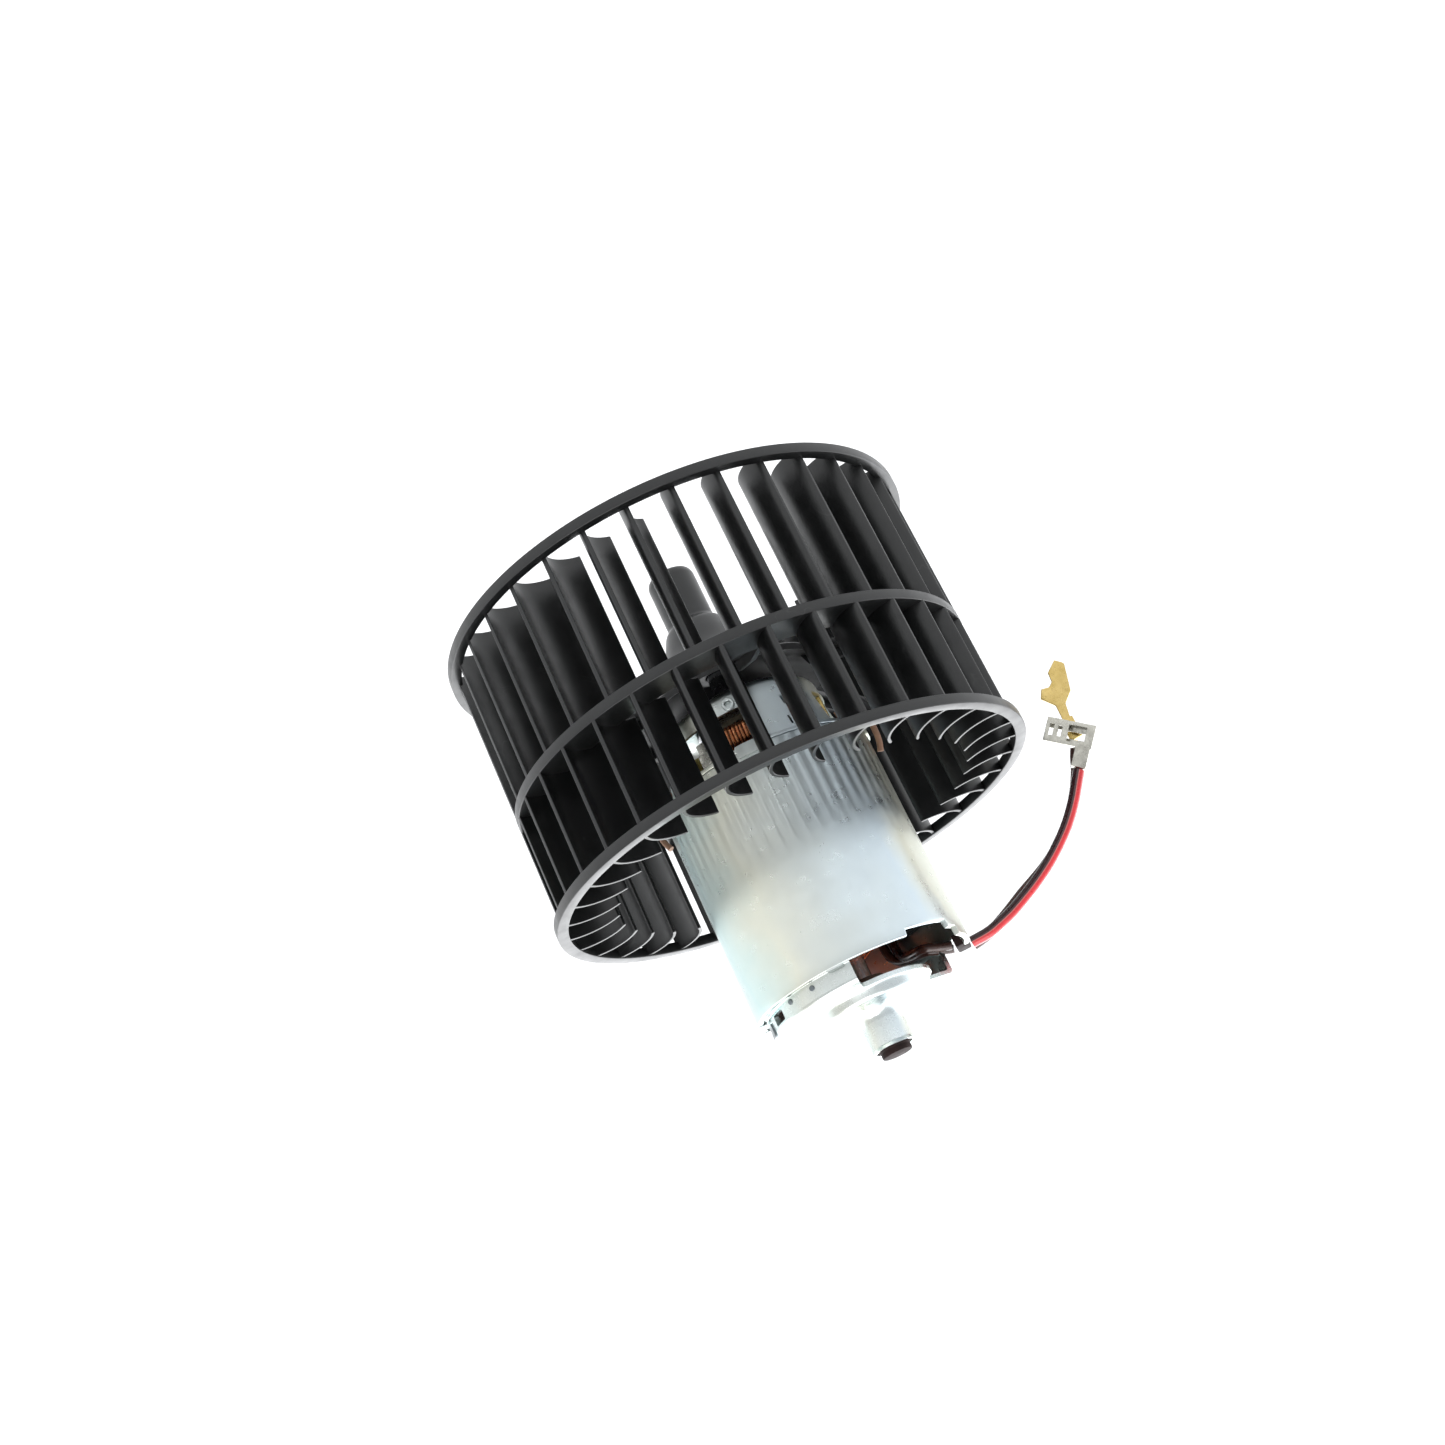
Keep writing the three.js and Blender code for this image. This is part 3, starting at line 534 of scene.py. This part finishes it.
# %% Fluted wall
flutes, ins, outs = new_group(
    "Fluted wall", "GeometryNodeTree",
    [("Geometry", "Geometry", None), ("Flutes", "Float", 55.0), ("Depth", "Float", 0.0005),
     ("Fade From", "Float", 0.09), ("Fade To", "Float", 0.106), ("Outer Radius", "Float", 0.03)],
    [("Geometry", "Geometry")])
where = add(flutes, "GeometryNodeInputPosition").outputs[0]
axes = add(flutes, "ShaderNodeSeparateXYZ", {}, {0: where}).outputs
angle = math_node(flutes, "ARCTAN2", axes[1], axes[0])
wave = math_node(flutes, "COSINE", math_node(flutes, "MULTIPLY", angle, ins["Flutes"]))
groove = math_node(flutes, "MULTIPLY_ADD", wave, 0.5, 0.5)
fade = add(flutes, "ShaderNodeMapRange", {"interpolation_type": "SMOOTHSTEP"},
           {"Value": axes[2], "From Min": ins["Fade From"], "From Max": ins["Fade To"],
            "To Min": 1.0, "To Max": 0.0}).outputs[0]
flat = add(flutes, "ShaderNodeCombineXYZ", {}, {"X": axes[0], "Y": axes[1]}).outputs[0]
radius = add(flutes, "ShaderNodeVectorMath", {"operation": "LENGTH"}, {0: flat}).outputs["Value"]
outside = math_node(flutes, "GREATER_THAN", radius, ins["Outer Radius"])
push = math_node(flutes, "MULTIPLY", math_node(flutes, "MULTIPLY", groove, fade),
                 math_node(flutes, "MULTIPLY", outside, ins["Depth"]))
inward = add(flutes, "ShaderNodeVectorMath", {"operation": "SCALE"},
             {0: add(flutes, "ShaderNodeVectorMath", {"operation": "NORMALIZE"}, {0: flat}).outputs[0],
              "Scale": math_node(flutes, "MULTIPLY", push, -1.0)}).outputs[0]
moved = add(flutes, "GeometryNodeSetPosition", {}, {"Geometry": ins["Geometry"], "Offset": inward})
flutes.links.new(moved.outputs[0], outs[0])
print("geometry trees:", ring.name, wire.name, coil.name, flutes.name)


# %% Running a tree
def grown(tree, mesh=None, **values):
    """Runs a tree on a mesh and returns the plain mesh it makes. Inputs are set by identifier."""
    thing = host(mesh or bpy.data.meshes.new("empty"))
    modifier = thing.modifiers.new("made", "NODES")
    modifier.node_group = tree
    for item in tree.interface.items_tree:
        key = item.name.replace(" ", "_").lower()
        if item.item_type == "SOCKET" and item.in_out == "INPUT" and key in values:
            modifier[item.identifier] = values[key]
    return shape(lambda bm: bm.from_mesh(baked(thing, tree.name)))


def ring_of(mesh, count, first_deg, slot):
    source = host(mesh, "source")
    result = grown(ring, copy=source, count=count, first_angle=math.radians(first_deg), finish=FINISH[slot])
    bpy.data.objects.remove(source)
    return result


def wires(paths, radius, slot, sides=8):
    """Round wires along lists of points in mm."""
    mesh = bpy.data.meshes.new("paths")
    points = [Vector(p) * MM for line in paths for p in line]
    edges, first = [], 0
    for line in paths:
        edges += [(first + k, first + k + 1) for k in range(len(line) - 1)]
        first += len(line)
    mesh.from_pydata(points, edges, [])
    return grown(wire, mesh, radius=radius * MM, sides=sides, finish=FINISH[slot])


def smooth_path(points, per_span=4):
    """A Catmull-Rom line through the points."""
    p = [Vector(q) for q in points]
    p = [2 * p[0] - p[1]] + p + [2 * p[-1] - p[-2]]
    line = []
    for a, b, c, d in zip(p, p[1:], p[2:], p[3:]):
        for k in range(per_span):
            t = k / per_span
            line.append(0.5 * (2 * b + (c - a) * t + (2 * a - 5 * b + 4 * c - d) * t * t
                               + (3 * b - a - 3 * c + d) * t ** 3))
    return line + [p[-2]]


# %% [markdown]
# ## The leads
#
# Two stiff leads leave the grommet behind the can's rear rim, run side by side and end in their
# terminals. Their route comes point by point from the CAD solids. A bevelled curve would do, but the
# red lead carries a dark band on the side that faces the camera, edged by a painted highlight, and a mesh
# tube can hold the map that the band follows.

# %% Leads
RED_ROUTE = [
    (-31.6, 12, 138.7), (-37, 12, 138.4), (-41, 12, 137.4), (-45.5, 12, 136), (-50.4, 12, 133.9),
    (-54.6, 12, 131.9), (-58.6, 12, 129.7), (-62.4, 12, 127.3), (-66.2, 12, 124.5), (-69.8, 12, 121.5),
    (-73, 12, 118.3), (-76, 12, 114.8), (-78.6, 12, 111.3), (-80.9, 12, 108.2)]
BROWN_ROUTE = [
    (-31.6, 17.4, 138.5), (-36.8, 17.4, 137.6), (-41.2, 17.3, 136.0), (-45.9, 17.2, 133.9),
    (-51.2, 17, 131.4),
    (-55.5, 17, 129.6), (-59.6, 17, 127.7), (-63.5, 17, 125.5), (-67.1, 17, 122.9), (-70.5, 17, 120.1),
    (-73.4, 17, 117.2), (-76.1, 17, 113.8), (-78.6, 17, 110.2), (-80.8, 17, 106.4), (-82.5, 17, 102.6),
    (-84.3, 17, 99.5)]
LEAD_R = 1.7
# The side of the red lead that faces the camera, where its dark band and the painted highlight along it go.
STRIPE_FACES = Vector((-0.1, -1, 0.15))


def lead(name, node, route, slot):
    line = smooth_path(route, 3)
    sides = 16
    bm = bmesh.new()
    rings = []
    for k, centre in enumerate(line):
        along = (line[min(k + 1, len(line) - 1)] - line[max(k - 1, 0)]).normalized()
        front = (STRIPE_FACES - along * STRIPE_FACES.dot(along)).normalized()
        side = along.cross(front)
        angles = (2 * math.pi * j / sides for j in range(sides))
        rings.append([bm.verts.new((centre + LEAD_R * (side * math.sin(t) - front * math.cos(t))) * MM)
                      for t in angles])
    around = bm.loops.layers.uv.new("around")
    for k, (low, high) in enumerate(zip(rings, rings[1:])):
        for j in range(sides):
            n = (j + 1) % sides
            face = bm.faces.new((low[j], low[n], high[n], high[j]))
            for loop, u, v in zip(face.loops, (j, j + 1, j + 1, j), (k, k, k + 1, k + 1)):
                loop[around].uv = (u / sides, v / len(line))
    bm.faces.new(rings[0])
    bm.faces.new(rings[-1])
    bmesh.ops.recalc_face_normals(bm, faces=bm.faces)
    mesh = bpy.data.meshes.new(name)
    bm.to_mesh(mesh)
    bm.free()
    made = piece(name, mesh, slot, "case", node)
    return made


flag = softened("flag_terminal", "flag_receptacle", "tin", width=0.22)
tab = softened("blade_tab", "tab_terminal", "brass", width=0.18)
red_lead = lead("red_lead", "lead_red", RED_ROUTE, "red_pvc")
brown_lead = lead("brown_lead", "lead_brown", BROWN_ROUTE, "brown_pvc")

# %% [markdown]
# The dark band is painted by the lead's own map: its first number runs once around the wire.
# A ramp holds the band and a pale line along its edge, which is a painted highlight, and its alpha says where
# they cover the red.

# %% Dark band and painted highlight
tree = FINISH["red_pvc"].node_tree
shader = tree.nodes["Principled BSDF"]
base = shader.inputs["Base Color"].links[0].from_socket
around = add(tree, "ShaderNodeUVMap", {"uv_map": "around"}).outputs[0]
turned_by = add(tree, "ShaderNodeSeparateXYZ", {}, {0: around}).outputs[0]
stripe = add(tree, "ShaderNodeValToRGB", {}, {"Fac": turned_by})
# The pale colour is a painted highlight along the band's edge, and the dark one is the band on the lead's
# camera side.
PAINTED_GLINT, DARK = (0.52, 0.13, 0.12), (0.030, 0.006, 0.008)
ramp = stripe.color_ramp.elements
ramp[0].position, ramp[0].color = 0.478, (*PAINTED_GLINT, 0)
ramp[1].position, ramp[1].color = 0.800, (*DARK, 0)
for position, colour in ((0.488, PAINTED_GLINT), (0.502, PAINTED_GLINT), (0.515, DARK), (0.780, DARK)):
    ramp.new(position).color = (*colour, 1)
striped = add(tree, "ShaderNodeMix", {"data_type": "RGBA"},
              {0: stripe.outputs[1], 6: base, 7: stripe.outputs[0]})
tree.links.new(striped.outputs[2], shader.inputs["Base Color"])

# %% [markdown]
# ## The wheel
#
# The wheel is one moulding: two rows of thin curved blades, three rings, a shelf, six spokes and a
# hollow bell that ends in the hub. A blade's section is an arc that thickens towards its outer edge,
# which is cut flat a little inside the two end rings.
# The rows have the same count, and the row on the hub side is turned by half a pitch.

# %% Blades
BLADES = 33
PITCH = 360 / BLADES
RING_A, SHELF, RING_B = (6.5, 9.7), (54.5, 57.7), (89.55, 92.75)
EDGE_R = 70.8                       # over the blades and the shelf; the end rings stand out past it


def blade(low, high):
    middle, steps = 12.3, 18
    centre = Vector((63.6, -10.8))
    tail, nose = math.radians(54.0), math.radians(137.3)

    def at(angle, reach):
        point = centre + Vector((math.cos(angle), math.sin(angle))) * reach
        return point * min(1.0, EDGE_R / point.length)

    def half(share):
        return 0.475 + 0.15 * max(0.0, 1 - share / 0.3)

    shares = [k / steps for k in range(steps + 1)]
    section = [at(tail + (nose - tail) * t, middle + half(t)) for t in shares]
    section += [at(nose, middle) + Vector((math.cos(nose + t), math.sin(nose + t))) * half(1)
                for t in (math.pi / 4, math.pi / 2, math.pi * 3 / 4)]
    section += [at(tail + (nose - tail) * t, middle - half(t)) for t in reversed(shares)]
    return bar(section, low, high, 0.12, 1)


hub_side = ring_of(blade(RING_A[0] + 0.4, 55.7), BLADES, 0.95 + PITCH / 2, "wheel_plastic")
motor_side = ring_of(blade(56.5, RING_B[1] - 0.4), BLADES, 0.95, "wheel_plastic")
piece("wheel_blades_hub_side", hub_side, "wheel_plastic", "rotor", "fan_wheel")
piece("wheel_blades_motor_side", motor_side, "wheel_plastic", "rotor")

# %% Rings and shelf
rings = [turned([(69.6, a), (73, a), (73, b), (69.6, b)], 160, 0.35) for a, b in (RING_A, RING_B)]
shelf = turned([(59, SHELF[0]), (EDGE_R, SHELF[0]), (EDGE_R, SHELF[1]), (59, SHELF[1])], 160, 0.35)
piece("wheel_rings", merged(*rings), "wheel_plastic", "rotor")
piece("wheel_shelf", shelf, "wheel_plastic", "rotor")

# %% [markdown]
# The hub is a plain cylinder that flares into the bell, which hides the front of the motor.
# Long fillets on the outline give the flare its curve.

# %% Hub, bell and spokes
bell = turned([
    (0, 0), (5.2, 0, 0.6), (6.6, 0.6, 0.8), (7.3, 2.2, 0.8), (7.3, 18, 0.8), (9, 19.4, 1.4), (10.6, 23, 3),
    (13, 29, 4), (18, 36, 4), (24.5, 41.6, 4), (31, 45, 0.4), (31, 47.4, 0.4), (23.2, 43.8, 4), (16.2, 38, 4),
    (11, 30, 4), (8.8, 24.5, 0.6), (6.4, 24.5), (6.4, 36), (3.3, 36), (3.3, 5.7), (0, 5.7)], 96)
piece("wheel_hub_and_bell", bell, "wheel_plastic", "rotor")

EDGEWISE = Matrix.Rotation(math.pi / 2, 4, "X")
flange = placed(bar([(28, 43.6), (60, 54.8), (60, 57), (28, 45.8)], -4.5, 4.5, 0.3), tip=EDGEWISE)
rib = placed(bar([(24, 39.5), (31, 44), (46, 48.4), (60.4, 54.8), (60.4, 57.6), (45, 54.6), (27, 48.6)],
                 -0.9, 0.9, 0.25), tip=EDGEWISE)
spokes = ring_of(merged(flange, rib), 6, 12, "wheel_plastic")
piece("wheel_spokes", spokes, "wheel_plastic", "rotor")

# %% [markdown]
# ## The can
#
# The motor's case is a drawn steel cup. We turn it with enough columns for its flutes, let the tree
# press them in, and move the rim where the real one is notched for the leads and the end cap, and
# where it stands up as an ear beside them.

# %% Can
CAN_R, CAN_RIM = 31.7, 137.5
NOTCHES = [(207, 236, 1.9), (168, 199, -2.2), (136.3, 165.2, 2.5)]

rows = [(CAN_R, z) for z in (72.5, 75, 78, 81, 84, 87, 90, 92, 94, 96, 98, 100, 102, 104, 106, 108,
                             120, 134.4)]
outline = rows + [(CAN_R, CAN_RIM, 0.4), (30.1, CAN_RIM, 0.4), (30.1, 134.4), (30.1, 72.5)]
can = turned([(r, z, f[0] if f else 0.0) for r, z, *f in outline], 550)
can = grown(flutes, can, flutes=55.0, depth=0.16 * MM, fade_from=88 * MM, fade_to=107 * MM,
            outer_radius=31.2 * MM)
for vertex in can.vertices:
    if vertex.co.z > 137 * MM:
        deg = math.degrees(math.atan2(vertex.co.y, vertex.co.x)) % 360
        vertex.co.z -= sum(depth for start, end, depth in NOTCHES if start <= deg <= end) * MM
piece("can_shell", can, "zinc_plate", "case", "motor_can", 50)

# %% [markdown]
# ## The front bracket
#
# A domed cup closes the front of the can. It holds the front bearing in its boss and is pierced all
# round, so that cooling air can pass and the brush gear can be reached. The windows are cut with
# rounded corners, as a punch leaves them.

# %% Front bracket
dome = turned([
    (6.8, 44.5), (8, 44.5, 0.4), (8, 50.5, 0.8), (22.5, 50.5, 1.4), (24.5, 52.1, 1.4), (25.3, 58, 2),
    (27.8, 71, 0.5), (31.7, 71, 0.3), (31.7, 72.2, 0.3), (26.6, 72.2), (24.1, 58, 2), (23.1, 52.7, 1),
    (21.5, 51.7, 1), (6.8, 51.7)], 144)
WINDOWS = [(254, 330, 57.6), (346, 378, 57.6), (38, 56, 55.5), (72, 108, 57.6),
           (134, 156, 55.5), (166, 204, 57.6), (222, 228, 55.5)]
tools = [wall(16, 29.4, low, 69.6, start, end, 1.3) for start, end, low in WINDOWS]
slits = [placed(brick((22, 30), (-0.35, 0.35), (-1.5, 1.5)), deg, (0, 0, z))
         for deg, z in ((233, 60), (236, 67))]
piece("front_cup", carved(dome, *tools, *slits), "zinc_plate", "case", "front_bracket", 40)

# %% Eyelet and crimps
RADIAL = Matrix.Rotation(math.pi / 2, 4, "Y")
eyelet = turned([(0.9, -0.6), (1.9, -0.6, 0.3), (1.9, 0.7, 0.4), (0.9, 0.7, 0.3)], 28)
piece("rivet_eye", placed(eyelet, 267, (25.2, 0, 55.6), RADIAL), "zinc_plate")
crimp = wall(31.4, 32.3, 70.6, 74.2, -6.5, 6.5, 0.6)
piece("front_crimps", ring_of(crimp, 4, 267, "zinc_plate"), "zinc_plate")

# %% [markdown]
# ## The rear end cap
#
# The cap is a stepped pressing: a flange under the rolled rim, a flat plate, a raised step, and a
# drawn nose that holds the rear bearing. Two large windows let the air out.

# %% Rear end cap
cap = turned([
    (27.2, 135.9), (29.8, 135.9), (29.8, 137.1, 0.3), (28.6, 137.1, 0.5), (28.6, 142.2, 1.0),
    (27.8, 143, 0.8),
    (17.6, 143, 0.9), (16.6, 145.6, 0.9), (16, 146.2, 0.9), (9.4, 146.2, 1.6), (6.2, 148.8, 1.4),
    (6.2, 156.9, 0.5), (6.8, 157.85, 0.25), (5.4, 157.85, 0.25), (5.4, 145), (15, 145, 0.6),
    (16.4, 141.8, 0.6), (27.2, 141.8, 0.6)], 144)
vents = [wall(18.2, 33, 134.2, 144.1, start, end, 2.2, plan=True) for start, end in ((144, 268), (24, 80))]
slits = [brick((x - 1.7, x + 1.7), (y - 0.3, y + 0.3), (141, 145)) for x, y in ((20.7, 3.3), (-17.7, 19))]
peephole = wall(26, 33, 138.2, 141.2, 320, 332, 0.5)
piece("rear_cap", carved(cap, *vents, *slits, peephole), "zinc_plate", "case", "rear_end_cap", 40,
      look="zinc_cap")
piece("cap_tongue", wall(28.3, 29.1, 138.6, 142.6, 340, 351, 0.9), "dark_zinc")

plug = turned([
    (0, 153.2), (5.1, 153.2), (5.1, 157.6, 0.2), (4.4, 158.2, 0.2), (4.4, 159.8, 0.4), (0, 159.8)], 64)
piece("nose_plug", plug, "black_rubber", "case", "rear_nose_plug")
grommet = brick((-31, -27), (10.2, 19.6), (134.8, 138.4), 0.5)
piece("lead_entry", grommet, "black_rubber", "case", "lead_grommet")

# %% [markdown]
# Short crimps fold the can's rim over the cap's flange, and two stakes hold the cap's wall. The stakes are
# dimples in the plain zinc, and their dark finish is painted shade.

# %% Rim crimps
crimp = wall(29.1, 31.6, 137.2, 137.9, -4.5, 4.5, 0.5)
crimps = [placed(crimp, deg) for deg in (275.5, 352, 10, 95, 122)]
piece("rim_crimps", merged(*crimps), "zinc_plate", look="zinc_cap")
stake = turned([(0, -0.4), (0.8, -0.4), (0.8, 0.2, 0.2), (0, 0.2)], 20)
stakes = [placed(stake, deg, (28.7, 0, z), RADIAL) for deg, z in ((293, 138.8), (310, 138.5), (100, 138.8))]
# The stakes' dark zinc is painted shade in their dimples.
piece("stake_marks", merged(*stakes), "dark_zinc")

# %% [markdown]
# ## Magnets
#
# Two curved ferrite magnets line the can, pushed apart by bowed spring strips.

# %% Magnets
for side, middle in (("a", 0), ("b", 180)):
    block = wall(24.5, 29.8, 80, 126, middle - 60, middle + 60, 0.8)
    piece(f"field_magnet_{side}", block, "ferrite", "case", f"magnet_{side}")
for side, middle in (("a", 270), ("b", 83)):
    strip = wall(28.4, 29.8, 84, 122, middle - 17, middle + 17, 1.5)
    legs = [wall(25, 29, 84, 122, middle + a, middle + b, 0.8) for a, b in ((12, 17), (-17, -12))]
    piece(f"magnet_spring_{side}", merged(strip, *legs), "dark_zinc", "case", f"magnet_clip_{side}")

# %% [markdown]
# ## The armature's windings
#
# Enamelled copper leaves each slot, crosses the shaft as a flat arc and drops into a slot five
# pitches on. Twelve coils lie over each other and build the dome that shows through the vents.
# We write one wire as a rule of its coil and its layer, and let the wire tree give them their body.

# %% Windings
SLOTS, SPAN_DEG = 12, 150


def end_turns(base, tip, per_coil, reach=21.6):
    """Paths of all end turns between the core's face at base and the dome's tip."""
    paths = []
    for n in range(SLOTS):
        layer = n / (SLOTS - 1)
        for k in range(per_coil):
            share = k / (per_coil - 1)
            crown = base + (tip - base) * (0.38 + 0.34 * layer + 0.28 * share)
            waist = 17.4 - 7.4 * layer + 3.4 * share
            line = []
            for s in range(19):
                t = s / 18
                hump = math.sin(math.pi * t)
                r = reach - 0.7 * k * (1 - hump) + (waist - reach) * hump
                turn = math.radians(n * 360 / SLOTS + 15 + SPAN_DEG * t + (share - 0.5) * 9 * (1 - hump))
                line.append((r * math.cos(turn), r * math.sin(turn), base + (crown - base) * hump ** 0.55))
            paths.append(line)
    return paths


piece("winding_rear", wires(end_turns(116.3, 131.0, 5), 0.32, "enamel_copper", 7), "enamel_copper", "rotor",
      "armature_winding_rear", 60)
piece("winding_front", wires(end_turns(85.7, 76.2, 7), 0.42, "enamel_copper", 7), "enamel_copper", "rotor",
      "armature_winding_front", 60)
packing = [turned([(6.5, 116.3), (18.4, 116.3), (18, 120), (16, 123.6, 2), (13, 125, 2), (9, 124),
                   (6.5, 122)], 48),
           turned([(9, 79.5), (13, 77.4), (17, 78.4), (20, 81.4), (20.4, 85.7), (6.5, 85.7), (6.5, 81)], 48)]
piece("winding_packing", merged(*packing), "carbon", "rotor")

# %% Commutator
copper = wall(7.5, 10.5, 56.5, 67.3, -6.7, 6.7, 0.2)
piece("commutator_bars", ring_of(copper, 24, 0, "bar_copper"), "bar_copper", "rotor", "commutator")
riser = wall(7.5, 11.4, 67.6, 69.6, -4.6, 4.6, 0.3)
piece("commutator_hooks", ring_of(riser, 24, 0, "bar_copper"), "bar_copper", "rotor", "commutator_risers")

# %% [markdown]
# ## Chokes and brush gear
#
# Two small coils on ferrite rods lie crosswise behind the bracket's windows and keep the brushes'
# sparks off the supply. Their enamelled copper wires loop out past the can's front rim, and the loops' pale
# tan is painted highlight on the copper. The brushes slide in brass channels, and each is pressed by a coil
# spring that shortens as its brush moves out.

# %% Chokes
LENGTHWISE = Matrix.Rotation(math.pi / 2, 4, "X")
LOOP = [(26.2, 0.6, 64.2), (29.5, 0.6, 64), (32.8, 0.4, 65.8), (34.3, 0, 69.5), (34.5, -0.4, 73.5),
        (34.1, -0.9, 77), (33.2, -1.4, 79.6)]
for side, deg, loop_deg in (("a", 269, 353), ("b", 89, 180)):
    winding = grown(coil, turns=8.0, radius=3.6 * MM, length=8.6 * MM, wire_radius=0.48 * MM,
                    finish=FINISH["enamel_copper"])
    centred = Matrix.Translation((0, 0, -4.3 * MM))
    piece(f"choke_winding_{side}", placed(winding, deg, (19.8, 0, 63.6), LENGTHWISE @ centred),
          "enamel_copper", "case", f"choke_coil_{side}", look="bar_copper")
    rod = turned([(0, -6), (2.7, -6, 0.3), (2.7, 6, 0.3), (0, 6)], 32)
    piece(f"choke_rod_{side}", placed(rod, deg, (19.8, 0, 63.6), LENGTHWISE), "ferrite", "case",
          f"choke_core_{side}")
    # The loops' pale tan is painted highlight on enamelled copper.
    loop = placed(wires([smooth_path(LOOP)], 0.9, "tan_sleeve", 12), loop_deg)
    piece(f"choke_loop_{side}", loop, "tan_sleeve", "case", f"choke_lead_{side}", 60)

# %% Brush gear
plate = carved(turned([(12.4, 70.2), (24.6, 70.2), (24.6, 72.2), (12.4, 72.2)], 80),
               wall(21.5, 26, 69, 73.5, 100, 118, 0.5))
piece("brush_ring", plate, "phenolic", "case", "brush_plate")
for side, sign in (("a", 1), ("b", -1)):
    softened(f"brush_box_{side}", f"brush_holder_{side}", "brass", "case", 0.15)
    softened(f"carbon_{side}", f"brush_{side}", "carbon", f"brush_{side}_block", 0.25)
    braid = [(15.4, 2.8, 62.5), (15.6, 4.4, 62.5), (16, 5.6, 62.9), (16.4, 6.6, 63.9)]
    braid = placed(wires([smooth_path(braid)], 0.5, "bar_copper", 8), 0 if sign > 0 else 180)
    piece(f"braid_{side}", braid, "bar_copper", f"brush_{side}_block", f"brush_shunt_{side}", 60)
    spring = grown(coil, turns=5.0, radius=1.95 * MM, length=3.8 * MM, wire_radius=0.22 * MM,
                   finish=FINISH["spring_steel"])
    spring = placed(spring, 0 if sign > 0 else 180, (19.3, 0, 62.5), RADIAL)
    made = piece(f"spring_{side}", spring, "spring_steel", "case", f"brush_spring_{side}", 60)
    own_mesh(made)
softened("earth_clip", "earth_tab", "tin", "case", 0.2)

# %% Inner leads
def inner_route(deg, turn_r, end_y):
    def at(r, z, turn=0):
        return (r * math.cos(math.radians(deg + turn)), r * math.sin(math.radians(deg + turn)), z)
    return [at(26.6, 74), at(26.6, 84), at(26.6, 110), at(26.6, 126), at((26.6 + turn_r) / 2, 131, 4),
            at(turn_r, 133, 14), (-18.5, end_y - 1, 134.5), (-22.6, end_y, 135.8), (-26.2, end_y, 137)]


for colour, route in (("red", inner_route(114.2, 21.6, 12)), ("brown", inner_route(107, 25.4, 17.4))):
    piece(f"hidden_{colour}", wires([smooth_path(route)], 1.3, "brown_pvc", 12), "brown_pvc",
          "case", f"inner_lead_{colour}", 60)

# %% [markdown]
# ## What stays as CAD made it
#
# Shaft, bearings, washers, felts and the laminated core have their right shape already.
# They only need their finish.

# %% Plain CAD pieces
KEPT = {
    "rotor_shaft": "shaft_steel", "hub_spring_clip": "spring_steel", "armature_core": "core_steel",
    "front_thrust_washer": "phenolic", "rear_thrust_washer": "phenolic", "commutator_insulator": "phenolic",
    "front_bearing": "sintered_bronze", "rear_bearing": "sintered_bronze",
    "front_felt_wick": "felt", "rear_felt_wick": "felt",
    "front_bearing_retainer": "spring_steel", "rear_bearing_retainer": "spring_steel",
}
for name, slot in KEPT.items():
    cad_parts[name].material_slots[0].material = FINISH[slot]

# %% [markdown]
# ## Floor and light
#
# The part hangs well above a plain pale floor. Nearly all of its light is soft: a sky that is even on
# the camera's side and twice as bright behind the part, where it grazes the flat ends of the wheel
# and the cap, and one broad lamp overhead. The camera itself sees clean white.

# %% Floor
floor_mesh = bpy.data.meshes.new("floor")
floor_mesh.from_pydata([(-6, -6, -0.36), (6, -6, -0.36), (6, 6, -0.36), (-6, 6, -0.36)], [], [(0, 1, 2, 3)])
paper = bpy.data.materials.new("paper")
paper.use_nodes = True
paper.node_tree.nodes["Principled BSDF"].inputs["Base Color"].default_value = (0.66, 0.66, 0.66, 1)
paper.node_tree.nodes["Principled BSDF"].inputs["Roughness"].default_value = 0.9
floor_mesh.materials.append(paper)
host(floor_mesh, "floor")

# %% Light
world = bpy.data.worlds.new("studio")
bpy.context.scene.world = world
world.use_nodes = True
tree = world.node_tree
tree.nodes.clear()
towards = add(tree, "ShaderNodeSeparateXYZ", {},
              {0: add(tree, "ShaderNodeTexCoord").outputs["Generated"]}).outputs
sky = add(tree, "ShaderNodeMapRange", {"interpolation_type": "SMOOTHSTEP"},
          {"Value": towards[1], "From Min": -0.25, "From Max": 0.75,
           "To Min": 0.88, "To Max": 4.0}).outputs[0]
soft = add(tree, "ShaderNodeBackground", {}, {"Color": (0.97, 0.985, 1.0, 1), "Strength": sky})
clean = add(tree, "ShaderNodeBackground", {}, {"Color": (1, 1, 1, 1), "Strength": 1.3})
seen = add(tree, "ShaderNodeLightPath").outputs["Is Camera Ray"]
blend = add(tree, "ShaderNodeMixShader", {}, {0: seen, 1: soft.outputs[0], 2: clean.outputs[0]})
out = add(tree, "ShaderNodeOutputWorld", {}, {0: blend.outputs[0]})


def lamp(name, at, aim, width, power):
    data = bpy.data.lights.new(name, "AREA")
    data.size, data.energy = width, power
    thing = bpy.data.objects.new(name, data)
    bpy.context.scene.collection.objects.link(thing)
    thing.location = at
    thing.rotation_euler = (Vector(aim) - Vector(at)).to_track_quat("-Z", "Y").to_euler()


lamp("overhead", (0.15, -0.25, 0.85), (0, 0, 0.1), 0.7, 4)
print("lamps: 1")
